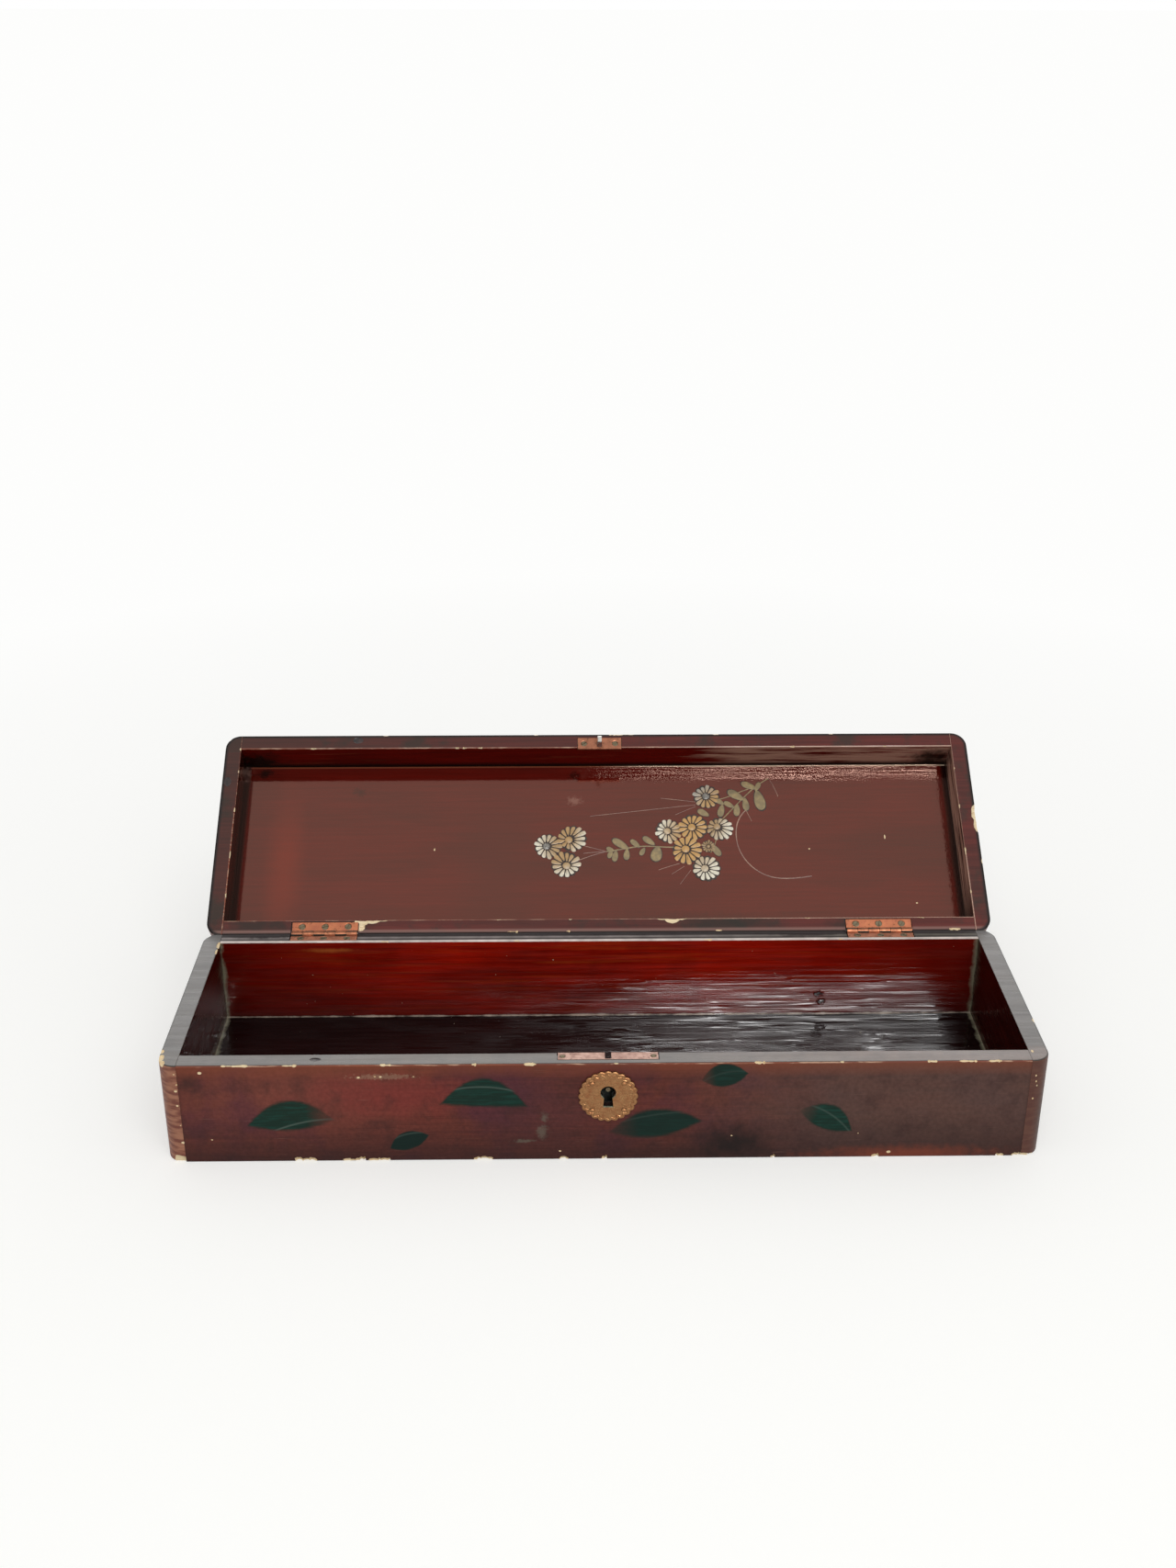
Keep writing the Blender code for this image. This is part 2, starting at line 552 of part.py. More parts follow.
def build_lock_works(case, iron):
    """Bolt, its guide stud and spring, and the post for the hollow key."""
    nose = LOCK_X - STAPLE_THICKNESS / 2 - BOLT_SET_BACK
    jaw = LOCK_X - STAPLE_THICKNESS / 2 - LOCK_CLEARANCE - BOLT_THROW
    slot_half = STUD_RADIUS + SEAT_GAP
    stud_x = jaw - BOLT_WEB - slot_half
    slot_start = stud_x - slot_half - BOLT_THROW
    tail = slot_start - BOLT_WEB
    talon = LOCK_X - BOLT_THROW / 2
    notch = (talon - TALON_WIDTH / 2, talon + TALON_WIDTH / 2)
    foot = LOCK_X + BOLT_FOOT
    outline = [
        (tail, BAR_BOTTOM),
        (notch[0], BAR_BOTTOM),
        (notch[0], BAR_BOTTOM + TALON_DEPTH),
        (notch[1], BAR_BOTTOM + TALON_DEPTH),
        (notch[1], BAR_BOTTOM),
        (foot, BAR_BOTTOM),
        (foot, BAR_TOP),
        (jaw, BAR_TOP),
        (jaw, NOSE_BOTTOM),
        (nose, NOSE_BOTTOM),
        (nose, NOSE_TOP),
        (tail, NOSE_TOP),
    ]
    guide_z = (NOSE_TOP + BAR_BOTTOM) / 2
    bolt_origin = (LOCK_X, (BOLT_FRONT + BOLT_BACK) / 2, guide_z)
    bolt_shape = prism(bmesh.new(), outline, FACING_Y, BOLT_FRONT, BOLT_BACK)
    bolt = add_piece("lock_bolt", bolt_shape, iron, origin=bolt_origin)
    guide = block(
        bmesh.new(),
        (slot_start, stud_x + slot_half),
        (BOLT_FRONT - CUT_MARGIN, BOLT_BACK + CUT_MARGIN),
        (guide_z - slot_half, guide_z + slot_half),
    )
    cut(add_helper("lock_bolt_guide_slot", guide), bolt)
    stud_place = Matrix.Translation((stud_x, INNER_FRONT - LOCK_PLATE / 2, guide_z)) @ HEAD_FORWARD
    stud = lathe(
        bmesh.new(),
        ((0, 0), (STUD_RADIUS, 0), (STUD_RADIUS, INNER_FRONT - BOLT_FRONT), (0, INNER_FRONT - BOLT_FRONT)),
        stud_place,
    )
    combine(case, add_helper("lock_bolt_stud", stud), "UNION")

    wall = LOCK_X - LOCK_CASE_WIDTH / 2 + LOCK_CASE_WALL + SEAT_GAP
    rest = BAR_BOTTOM - SEAT_GAP
    elbow = rest - SPRING_BEND / 2
    strip = [
        (wall, elbow - SPRING_FOOT),
        (wall + SPRING_THICKNESS, elbow - SPRING_FOOT),
        (wall + SPRING_THICKNESS, elbow - SPRING_THICKNESS),
        (wall + SPRING_BEND, rest - SPRING_THICKNESS),
        (wall + SPRING_BEND + SPRING_REACH, rest - SPRING_THICKNESS),
        (wall + SPRING_BEND + SPRING_REACH, rest),
        (wall + SPRING_BEND, rest),
        (wall, elbow),
    ]
    add_piece("lock_spring", prism(bmesh.new(), strip, FACING_Y, BOLT_BACK - SPRING_WIDTH, BOLT_BACK), iron)

    post_length = INNER_FRONT - FRONT_FACE - KEY_POST_SET_BACK
    post_place = Matrix.Translation((LOCK_X, INNER_FRONT, KEYHOLE_Z)) @ HEAD_FORWARD
    post_profile = ((0, 0), (KEY_POST_RADIUS, 0), (KEY_POST_RADIUS, post_length), (0, post_length))
    add_piece("lock_key_post", lathe(bmesh.new(), post_profile, post_place), iron)
    hole_radius = KEY_POST_RADIUS + FASTENER_GAP
    hole_profile = ((0, -CUT_MARGIN), (hole_radius, -CUT_MARGIN), (hole_radius, LOCK_DEPTH), (0, LOCK_DEPTH))
    cut(add_helper("lock_key_post_hole", lathe(bmesh.new(), hole_profile, post_place)), case)


def build_escutcheon(front_board, brass):
    """Scalloped keyhole plate, held to the front face by round-headed pins."""
    middle_z = BOX_HEIGHT - ESCUTCHEON_DROP
    back = FRONT_FACE - SEAT_GAP
    front = back - ESCUTCHEON_THICKNESS
    outline = [(LOCK_X + u, middle_z + v) for u, v in scallop_outline()]
    plate = add_piece("escutcheon", prism(bmesh.new(), outline, FACING_Y, front, back), brass)
    cut(add_helper("escutcheon_keyhole", keyhole(0, front - CUT_MARGIN, back + CUT_MARGIN)), plate)
    cut(add_helper("board_keyhole", keyhole(KEYHOLE_EASE, back - CUT_MARGIN, LOCK_FRONT)), front_board)

    shank = ESCUTCHEON_THICKNESS + BOX_WALL - LOCK_DEPTH - SEAT_GAP
    hole_radius = PIN_SHANK_RADIUS + FASTENER_GAP
    head_profile = [
        (PIN_HEAD_RADIUS * math.sin(turn), PIN_HEAD_HEIGHT * math.cos(turn))
        for turn in (0, math.pi / 6, math.pi / 3, math.pi / 2)
    ]
    pin_profile = head_profile + [(PIN_SHANK_RADIUS, 0), (PIN_SHANK_RADIUS, -shank), (0, -shank)]
    hole_depth = -shank - FASTENER_GAP
    hole_profile = ((0, CUT_MARGIN), (hole_radius, CUT_MARGIN), (hole_radius, hole_depth), (0, hole_depth))
    holes = bmesh.new()
    for number in range(ESCUTCHEON_PINS):
        turn = 2 * math.pi * (number + 0.5) / ESCUTCHEON_PINS
        spot = (
            LOCK_X + ESCUTCHEON_PIN_CIRCLE * math.cos(turn),
            front - SEAT_GAP,
            middle_z + ESCUTCHEON_PIN_CIRCLE * math.sin(turn),
        )
        place = Matrix.Translation(spot) @ HEAD_FORWARD
        lathe(holes, hole_profile, place)
        add_piece(f"escutcheon_pin_{number + 1}", lathe(bmesh.new(), pin_profile, place), brass)
    cut(add_helper("escutcheon_pin_holes", holes), plate, front_board)


def build_strike(front_rail, copper, iron, pivot):
    """Strike plate let into the lid's front rail, and the staple that the bolt shoots through."""
    inner_face = LID_WALL - BOX_DEPTH / 2
    back = inner_face + STRIKE_OVERHANG
    front = back - STRIKE_WIDTH
    half_length = STRIKE_LENGTH / 2
    plate_top = LID_Z + STRIKE_THICKNESS
    strip = block(bmesh.new(), across(half_length), (front, back), (LID_Z, plate_top))
    plate = add_piece("strike_plate", strip, copper, pivot)
    recess = block(
        bmesh.new(),
        across(half_length + SEAT_GAP),
        (front - SEAT_GAP, back + CUT_MARGIN),
        (LID_Z - CUT_MARGIN, plate_top + SEAT_GAP),
    )
    cut(add_helper("strike_recess", recess, pivot), front_rail)

    holes = bmesh.new()
    for number, end in ((1, -1), (2, 1)):
        spot = (LOCK_X + end * STRIKE_SCREW_SPACING / 2, (front + back) / 2, LID_Z)
        place = Matrix.Translation(spot) @ HEAD_DOWN
        fastener_hole(holes, STRIKE_SCREW, place)
        add_piece(f"strike_screw_{number}", fastener(bmesh.new(), STRIKE_SCREW, place), iron, pivot)
    cut(add_helper("strike_screw_holes", holes, pivot), plate, front_rail)

    half_staple = STAPLE_THICKNESS / 2
    neck = LID_Z - PARTING_GAP / 2
    loop = block(bmesh.new(), across(half_staple), (STAPLE_FRONT, STAPLE_BACK), (STAPLE_BOTTOM, neck))
    round_edges(loop, running_along(edges_at(loop, "z", STAPLE_BOTTOM), "x"), STAPLE_BOW, EDGE_STEPS)
    staple = add_piece("staple", loop, iron, pivot)
    tang_top = plate_top + STAPLE_TANG
    tang_y = (STAPLE_FRONT, STAPLE_FRONT + STAPLE_TANG)
    tang = block(bmesh.new(), across(half_staple), tang_y, (NOSE_TOP + LOCK_CLEARANCE + SEAT_GAP, tang_top))
    combine(staple, add_helper("staple_tang", tang, pivot), "UNION")
    window = block(
        bmesh.new(),
        across(half_staple + CUT_MARGIN),
        (BOLT_FRONT - LOCK_CLEARANCE, BOLT_BACK + LOCK_CLEARANCE),
        (NOSE_BOTTOM - LOCK_CLEARANCE, NOSE_TOP + LOCK_CLEARANCE),
    )
    cut(add_helper("staple_window", window, pivot), staple)
    socket = block(
        bmesh.new(),
        across(half_staple + SEAT_GAP),
        (tang_y[0] - SEAT_GAP, tang_y[1] + SEAT_GAP),
        (LID_Z - CUT_MARGIN, tang_top + SEAT_GAP),
    )
    cut(add_helper("staple_socket", socket, pivot), plate, front_rail)


def main():
    for old in list(bpy.data.objects):
        bpy.data.objects.remove(old)
    lacquer = new_material("red_brown_lacquer", (0.10, 0.022, 0.016), 0.22, 0)
    copper = new_material("worn_copper", (0.42, 0.17, 0.10), 0.42, 1)
    brass = new_material("stippled_brass", (0.38, 0.18, 0.08), 0.5, 1)
    iron = new_material("dull_iron", (0.16, 0.15, 0.12), 0.5, 1)

    lid_pivot = bpy.data.objects.new("lid_hinge_axis", None)
    lid_pivot.location = (0, HINGE_Y, HINGE_Z)
    lid_pivot.rotation_euler = (-LID_OPEN, 0, 0)
    bpy.context.scene.collection.objects.link(lid_pivot)

    front_board, back_board, _, _ = build_case(lacquer)
    front_rail, back_rail, _, _ = build_lid(lacquer, lid_pivot)
    build_hinge_side("box", -1, back_board, copper, iron, None)
    build_hinge_side("lid", 1, back_rail, copper, iron, lid_pivot)
    build_hinge_pins(iron)
    lock_case = build_lock_case(front_board, copper, iron)
    build_lock_works(lock_case, iron)
    build_escutcheon(front_board, brass)
    build_strike(front_rail, copper, iron, lid_pivot)


main()
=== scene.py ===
"""Looks for a lacquered wooden box with a flower spray inside its lid, modelled over the packed frame.

Laid out as an add-on and run as a script. Lengths are in metres, or in millimetres where a comment or a
docstring says so. The lid's pieces are modelled with the lid laid flat on its back behind the box, and
then tilted up about the hinge axis.
"""

import json
import math
import random
from functools import partial

import bmesh
import bpy
from bpy.props import FloatProperty, FloatVectorProperty, IntProperty, PointerProperty
from mathutils import Matrix, Vector


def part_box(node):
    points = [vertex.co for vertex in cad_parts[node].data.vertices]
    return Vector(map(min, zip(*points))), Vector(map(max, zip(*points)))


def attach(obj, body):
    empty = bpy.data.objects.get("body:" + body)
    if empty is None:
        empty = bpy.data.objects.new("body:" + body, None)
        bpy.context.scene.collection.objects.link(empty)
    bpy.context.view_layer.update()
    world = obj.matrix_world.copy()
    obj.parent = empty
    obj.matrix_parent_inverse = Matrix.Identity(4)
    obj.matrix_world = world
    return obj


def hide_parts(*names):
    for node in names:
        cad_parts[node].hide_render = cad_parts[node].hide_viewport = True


bl_info = {
    "name": "Lacquer Box",
    "version": (1, 0, 0),
    "blender": (4, 5, 0),
    "location": "View3D > Sidebar > Lacquer Box",
    "description": "Models and finishes a lacquered wooden box with hinges, a lock and a flower spray",
    "category": "Object",
}

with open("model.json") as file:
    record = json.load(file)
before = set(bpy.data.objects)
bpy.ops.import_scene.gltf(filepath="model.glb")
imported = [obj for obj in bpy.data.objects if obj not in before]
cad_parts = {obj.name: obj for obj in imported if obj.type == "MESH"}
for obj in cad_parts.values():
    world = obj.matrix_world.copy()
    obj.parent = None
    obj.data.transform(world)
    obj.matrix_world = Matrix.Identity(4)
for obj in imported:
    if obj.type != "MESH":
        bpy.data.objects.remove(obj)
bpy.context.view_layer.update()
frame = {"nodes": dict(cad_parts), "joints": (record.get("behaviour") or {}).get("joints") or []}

MM = 0.001
HAIR = 0.05 * MM  # between boards that are glued together
HANDS = {"left": -1, "right": 1}
TO_X = (0, math.pi / 2, 0)  # turns that lay a round piece along an axis
TO_Y = (math.pi / 2, 0, 0)

# Places that the frame gives
LID_HINGE = next(joint for joint in frame["joints"] if joint["name"] == "lid_hinge")
HINGE = Vector(LID_HINGE["pos_m"])
TILT = math.radians(180 - LID_HINGE["range_deg"][1])
FRONT_LOW, FRONT_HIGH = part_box("front_board")
BACK_LOW, BACK_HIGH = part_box("back_board")
RIGHT_LOW, RIGHT_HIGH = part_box("right_end_board")
FLOOR_LOW, FLOOR_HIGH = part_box("bottom_board")
LOCK_LOW, LOCK_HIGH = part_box("lock_case")
PLATE_LOW, PLATE_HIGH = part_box("escutcheon")
RIM = FRONT_HIGH.z
OUTER_X = RIGHT_HIGH.x
INNER_X = RIGHT_LOW.x
INNER_Y = BACK_LOW.y
FLOOR = FLOOR_HIGH.z
LOCK_X = (LOCK_LOW.x + LOCK_HIGH.x) / 2
KEY_Z = sum(corner.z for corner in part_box("lock_key_post")) / 2

# The lid, laid flat: its rim is level with the box's, and its top lies under it
LID_WALL = 6.4 * MM
LID_INNER_X = OUTER_X - LID_WALL
LID_PANEL = HINGE.z - 15.4 * MM
LID_OUTSIDE = LID_PANEL - 5.2 * MM
LID_BACK = HINGE.y - (BACK_HIGH.y - HINGE.y)
LID_FRONT = LID_BACK + (BACK_HIGH.y - FRONT_LOW.y)
LID_FAR_WALL = LID_FRONT - LID_WALL
LID_FOOT = LID_PANEL + HAIR
CORNER_ROUND = 6 * MM
STOP_GAP = 0.3 * MM
LID_TURN = Matrix.Translation(HINGE) @ Matrix.Rotation(TILT, 4, "X") @ Matrix.Translation(-HINGE)

# Tones and shine that several finishes share
ORANGE_GROUND = "#8a4a32"
# Nearly black: soot on knots and stains, and painted shade in creases, beside walls and under the lid
SOOT_AND_SHADE = "#140505"
MOSS = "#2b261d"
DULL = 0.14

# All tables below are in millimetres and degrees
# Painted leaves on the front: middle (x, z), half length, turn, rise over and under the middle line,
# fade towards one end, the vein's height, slope and bow, how pale it is, and how dark the paint lies
FRONT_LEAVES = (
    ((-108.2, 16.1), 15.4, 3.8, 0.63, 0.21, 1, (-0.05, 0.25, -0.16), 0.4, 0.0),
    ((-41.8, 22.8), 15.2, -2.1, 0.76, 0.04, 0, (0.51, 0.0, -0.2), 0.35, 0.1),
    ((-67.8, 8.0), 7.4, 22.0, 0.6, 0.42, 0, (0.45, -0.1, -0.2), 0.2, 0.75),
    ((40.8, 34.0), 8.2, 9.5, 0.68, 0.5, -1, (0.2, 0.1, -0.2), 0.1, 0.3),
    ((17.4, 13.6), 16.4, 8.4, 0.46, 0.27, -1, (0.3, 0.03, -0.1), 0.12, 0.45),
    ((76.4, 15.6), 10.4, -25.0, 0.68, 0.34, -1, (0.3, -0.2, -0.2), 0.22, 0.0),
)

# Chips along edges, as (from, to)
FRONT_TOP_CHIPS = (
    (-130.3, -121.5), (-109.6, -105.0), (-76.4, -73.2), (-45.4, -44.6), (-27.4, -24.2), (3.0, 4.4),
    (51.0, 54.0), (80.0, 80.8), (109.9, 112.6), (121.0, 126.0), (131.0, 134.5),
)
FRONT_FOOT_CHIPS = (
    (-107.7, -101.0), (-91.0, -83.6), (-82.0, -75.2), (-45.6, -39.3), (-15.7, -13.2), (-1.0, 0.5),
    (58.0, 59.0), (93.5, 95.6), (137.0, 139.6), (142.6, 145.6),
)
BACK_FOOT_CHIPS = ((-122, -119), (-60, -58), (12, 15), (66, 67), (128, 131))
BACK_RIM_CHIPS = ((-84, -82), (-33, -31.5), (40, 43), (92, 93))
FAR_INNER_CHIPS = ((-117.5, -115.8), (-58.2, -57.4), (-55.2, -54.4), (-48.9, -47.6), (79.6, 81), (118, 118.8))
FAR_OUTER_CHIPS = ((-88, -86), (-26, -25), (5.0, 15.5), (48, 50), (96, 97))
NEAR_INNER_CHIPS = ((-40, -38.5), (-12, -11), (80, 81.5), (124, 126))
NEAR_OUTER_CHIPS = ((-36, -32.5), (-13, -12), (45, 47), (136, 140))
SIDE_INNER_CHIPS = ((16, 17), (33, 36), (54, 55), (72, 73))
TOP_FRONT_CHIPS = ((-128, -125), (-71, -69), (-20, -18.5), (34, 37), (88, 89), (133, 137))
TOP_BACK_CHIPS = ((-139, -135), (-52, -50), (9, 10), (74, 78), (120, 121))
# Flakes on the front face, as (x, z, size)
FRONT_FLAKES = (
    (-137.8, 37.0, 1.5), (-136.0, 9.4, 0.7), (99.2, 2.2, 1.5), (-15.6, 3.6, 0.9), (-84.1, 34.8, 1.1),
    (-78.5, 35.1, 0.8), (-76.6, 35.0, 1.0), (-65.3, 35.0, 0.6), (44.0, 9.6, 0.7), (88.0, 10.2, 0.5),
)
# Flakes on the end boards' front edges: height and size on the left, place inwards and height on the right
LEFT_FLAKES = ((32.3, 0.8), (29.7, 1.2), (23.7, 0.9), (8.3, 1.3), (15.5, 0.5), (36.5, 0.6))
RIGHT_FLAKES = ((4.9, 33.6), (4.1, 29.4), (3.6, 27.6), (5.1, 24.2), (4.6, 31.2))
# Chips in the end boards: place inwards, back and up from the outer corner at the front foot, then size
END_FOOT_CHIPS = ((0, 23, 0.2, 0.9, 3.5, 1.0), (0, 49, 0.2, 0.9, 2.0, 1.0), (0, 72, 0.2, 0.9, 5.0, 1.0))
END_CHIPS = {
    "left": (
        (4.75, 0.2, 0.8, 6.4, 2.0, 4.4),
        (6.95, 0.2, 0.3, 3.4, 1.6, 3.0),
        (1.4, 2.0, 39.6, 3.0, 3.4, 2.6),
        (0.8, 5.0, 39.7, 2.4, 4.4, 1.8),
        (0.5, 9.0, 39.7, 1.5, 2.6, 1.2),
        (6.6, 81.4, 39.7, 1.6, 4.6, 1.6),
        (6.6, 76.5, 39.7, 1.0, 4.0, 0.9),
        *((6.2 + 0.3 * math.sin(z), 0, z, size, 0.6, size * 0.8) for z, size in LEFT_FLAKES),
        *END_FOOT_CHIPS,
    ),
    "right": (
        *((inwards, 0.1, z, 0.6, 0.7, 0.9) for inwards, z in RIGHT_FLAKES),
        (5.75, 0.2, 0.5, 4.0, 1.3, 1.8),
        (3.35, 0.9, 0.2, 2.6, 1.4, 1.2),
        (5.55, 5.6, 39.8, 0.9, 1.6, 0.5),
        (0.2, 25, 39.7, 1.0, 2.6, 0.8),
        *END_FOOT_CHIPS,
    ),
}
# Splits in the lid's back rail, flakes on its panel and chips on its side rails: place, then size
NEAR_SPLITS = (
    (-92.4, 5.3, 0, 6.0, 4.0, 2.4),
    (-88.4, 5.7, 0, 6.6, 2.9, 2.0),
    (-84.6, 5.9, 0, 6.0, 1.6, 1.6),
    (-92.8, 2.6, 0, 3.6, 3.4, 1.6),
    (24.4, 5.9, 0, 4.6, 1.7, 1.4),
    (28.2, 5.4, 0, 6.0, 3.4, 1.9),
    (32.0, 5.9, 0, 4.4, 1.8, 1.4),
)
PANEL_FLAKES = (
    (-66.6, 44.1, 0, 0.6, 1.2, 0.5),
    (86.4, 43.6, 0, 0.8, 0.7, 0.5),
    (117.8, 48.9, 0, 0.7, 2.0, 0.4),
    (127.9, 18.9, 0, 0.9, 0.7, 0.5),
)
LID_LEFT_CHIPS = ((1.4, -1.6, -0.1, 1.4, 1.8, 1.0), (6.4, -6.4, 0, 1.2, 1.4, 0.8))
LID_RIGHT_CHIPS = (
    (0, 51.5, -0.2, 4.4, 8.5, 3.4), (0, 46.0, -0.2, 3.2, 6.5, 3.0), (0, 30, -0.1, 1.0, 2.6, 1.2)
)

# Knots in the back wall and the floor
INNER_KNOTS = ((85.1, 38.2, 15.2), (86.4, 38.2, 11.8), (85.4, 28.5, 6.2), (82.8, 22.8, 6.2))

# Flowers: place along and up the lid's panel, radius, lean of the heart, turn of their white side,
# share of white, depth of gold
FLOWERS = (
    (-20.3, 45.3, 5.6, (-0.13, 0.0), 180, 0.5, 0.25),
    (-10.4, 48.8, 5.9, (-0.25, -0.1), -20, 0.22, 0.4),
    (-13.2, 37.0, 5.9, (0.06, -0.1), -70, 0.42, 0.35),
    (29.1, 52.0, 5.4, (-0.1, 0.0), 170, 0.6, 0.5),
    (39.5, 53.8, 6.0, (-0.13, 0.0), 0, -0.8, 1.0),
    (36.4, 43.0, 6.1, (-0.1, 0.12), 0, -0.8, 1.0),
    (50.3, 52.9, 5.3, (-0.23, 0.2), -20, 0.5, 0.1),
    (44.0, 34.8, 5.8, (-0.13, 0.0), -60, 0.95, 0.2),
    (45.4, 68.0, 5.5, (-0.05, 0.05), 135, 0.35, 0.6),
    (45.2, 44.9, 2.8, (0.0, 0.0), 0, -0.8, 0.0),
)
SILVER_FLOWERS = (8,)
SILVER_HEARTS = (0, 8)
# Leaves of the spray: place, length, width and turn
SPRAY_LEAVES = (
    (9.3, 46.1, 8.9, 3.0, -36), (7.0, 40.7, 5.7, 2.3, 80), (5.0, 41.6, 4.4, 1.9, 70),
    (11.7, 41.4, 5.6, 2.4, 85), (15.3, 46.3, 5.6, 2.2, -44), (20.9, 47.5, 6.7, 2.5, -39),
    (18.2, 42.7, 4.4, 1.9, 62), (23.9, 41.6, 7.8, 4.3, 78), (5.1, 43.7, 3.9, 1.8, -26),
    (57.6, 68.6, 8.7, 3.3, -35), (63.3, 73.1, 7.7, 2.8, -25), (67.3, 66.3, 10.7, 4.2, 101),
    (61.5, 64.4, 6.9, 2.6, 95), (57.7, 61.7, 6.3, 2.5, 84), (54.6, 64.2, 5.3, 2.2, -33),
    (51.2, 61.4, 6.6, 2.6, 77), (43.8, 60.4, 5.9, 2.6, -31), (48.2, 43.2, 6.9, 2.6, 123),
    (50.8, 65.6, 4.7, 2.0, -35), (66.9, 72.7, 5.2, 2.0, -116),
)
# Stems, then grasses: width and the points they pass
SPRAY_STEMS = 4
SPRAY_LINES = (
    (0.55, ((3.4, 42.8), (8.0, 43.4), (14.0, 44.8), (20.0, 45.4), (26.0, 44.7), (31.0, 44.6))),
    (0.5, ((47.0, 52.0), (51.0, 57.0), (57.0, 63.4), (63.2, 70.3), (68.0, 74.5), (71.6, 76.6))),
    (0.4, ((50.0, 66.8), (54.0, 67.2), (58.0, 70.0), (63.0, 71.6))),
    (0.4, ((46.0, 42.0), (47.8, 44.6), (48.4, 47.8))),
    (0.3, ((-5.5, 45.4), (-1.0, 44.2), (3.4, 42.8))),
    (0.3, ((-6.0, 42.0), (-1.0, 42.6), (3.4, 42.8))),
    (0.3, ((-8.0, 38.8), (-2.0, 41.4), (3.4, 42.8))),
    (0.22, ((-3.0, 59.2), (12.0, 60.9), (27.0, 62.7), (40.7, 64.3))),
    (0.22, ((26.3, 67.5), (33.0, 66.7), (40.8, 65.6))),
    (0.22, ((32.2, 59.6), (36.0, 61.5), (40.7, 63.5))),
    (0.22, ((24.5, 34.3), (29.0, 36.0), (33.2, 37.2))),
    (0.22, ((29.8, 32.4), (32.5, 34.2), (35.0, 35.9))),
    (0.22, ((33.0, 27.8), (35.4, 31.2), (37.6, 34.2))),
    (
        0.46,
        ((61.8, 62.0), (57.9, 58.6), (55.9, 49.7), (58.4, 40.0), (65.1, 32.0), (74.2, 29.1), (86.5, 31.2)),
    ),
    (0.22, ((61.5, 61.8), (62.6, 58.6), (63.6, 56.4))),
    (0.24, ((71.6, 76.6), (73.2, 74.6), (75.2, 68.0))),
)


def linear(text):
    """A colour's linear values from its sRGB hex code."""
    shares = [int(text[place : place + 2], 16) / 255 for place in (1, 3, 5)]
    return tuple(share / 12.92 if share <= 0.04045 else ((share + 0.055) / 1.055) ** 2.4 for share in shares)


def tint(name, description, code):
    """A colour setting that starts from an sRGB hex code."""
    return FloatVectorProperty(name=name, description=description, subtype="COLOR", default=linear(code))


def measure(name, description, default, least):
    """A length setting."""
    return FloatProperty(name=name, description=description, default=default, min=least, unit="LENGTH")


class LacquerSettings(bpy.types.PropertyGroup):
    """Colours and edges of the lacquered boards."""

    outside: tint("Outside", "Faded lacquer outside", "#68332a")
    inside: tint("Inside", "Deep red lacquer inside", "#981606")
    stain: tint("Stain", "Darkened patches", "#35211f")
    floor: tint("Floor", "Nearly black lacquer on the floor", "#050201")
    rim: tint("Rim", "Rubbed lacquer on the rims", "#4d4238")
    wood: tint("Bare wood", "Wood where the lacquer has chipped", "#ead6b0")
    leaf: tint("Painted leaf", "Green of the leaves on the front", "#04281f")
    edge_round: measure("Edge round", "Wear on the boards' edges", 0.5 * MM, 0.1 * MM)
    chip_reach: measure("Chip reach", "How far a chip bites in", 0.55 * MM, 0.1 * MM)


class FittingSettings(bpy.types.PropertyGroup):
    """Colours and edges of the metal fittings."""

    copper: tint("Copper", "Hinges, lock and strike", "#a6684b")
    brass: tint("Brass", "Escutcheon and its pins", "#8a6544")
    iron: tint("Iron", "Screws, nails and pins", "#6b6250")
    steel: tint("Steel", "Staple", "#d8d6d0")
    edge_round: measure("Edge round", "Softness of the metal's edges", 0.12 * MM, 0)


class SpraySettings(bpy.types.PropertyGroup):
    """Colours and relief of the flower spray."""

    gold: tint("Gold", "Gold petals", "#c69a5c")
    tan: tint("Tan", "Thin gold over lacquer", "#a88a62")
    white: tint("White", "White petals", "#e6dfca")
    leaf: tint("Leaf", "Olive gold leaves and stems", "#8c7a56")
    petals: IntProperty(name="Petals", description="Petals on each flower", default=13, min=6, max=24)
    relief: measure("Relief", "Height of a petal over the panel", 0.3 * MM, 0.05 * MM)


class StageSettings(bpy.types.PropertyGroup):
    """Floor, camera and light."""

    floor: tint("Floor", "Floor colour", "#cfcfcc")
    camera: FloatVectorProperty(
        name="Camera", description="Place of the camera", subtype="XYZ", unit="LENGTH",
        default=(-13.313 * MM, -528.763 * MM, 367.27 * MM),
    )
    pitch: FloatProperty(name="Pitch", description="Camera below level", subtype="ANGLE", default=0.43172)
    yaw: FloatProperty(name="Yaw", description="Camera to the right", subtype="ANGLE", default=0.01495)
    roll: FloatProperty(name="Roll", description="Turn about the view", subtype="ANGLE", default=0.00152)
    lens: FloatProperty(name="Lens", description="Focal length in mm on a 36 mm frame", default=38.96)


def add_node(tree, kind, inputs=(), output=0, **settings):
    """Adds a node, sets or links its inputs, given in order or by socket, and gives back one output."""
    node = tree.nodes.new("ShaderNode" + kind)
    for name, value in settings.items():
        setattr(node, name, value)
    for socket, value in inputs.items() if isinstance(inputs, dict) else enumerate(inputs):
        if isinstance(value, bpy.types.NodeSocket):
            tree.links.new(value, node.inputs[socket])
        else:
            node.inputs[socket].default_value = value
    return node.outputs[output]


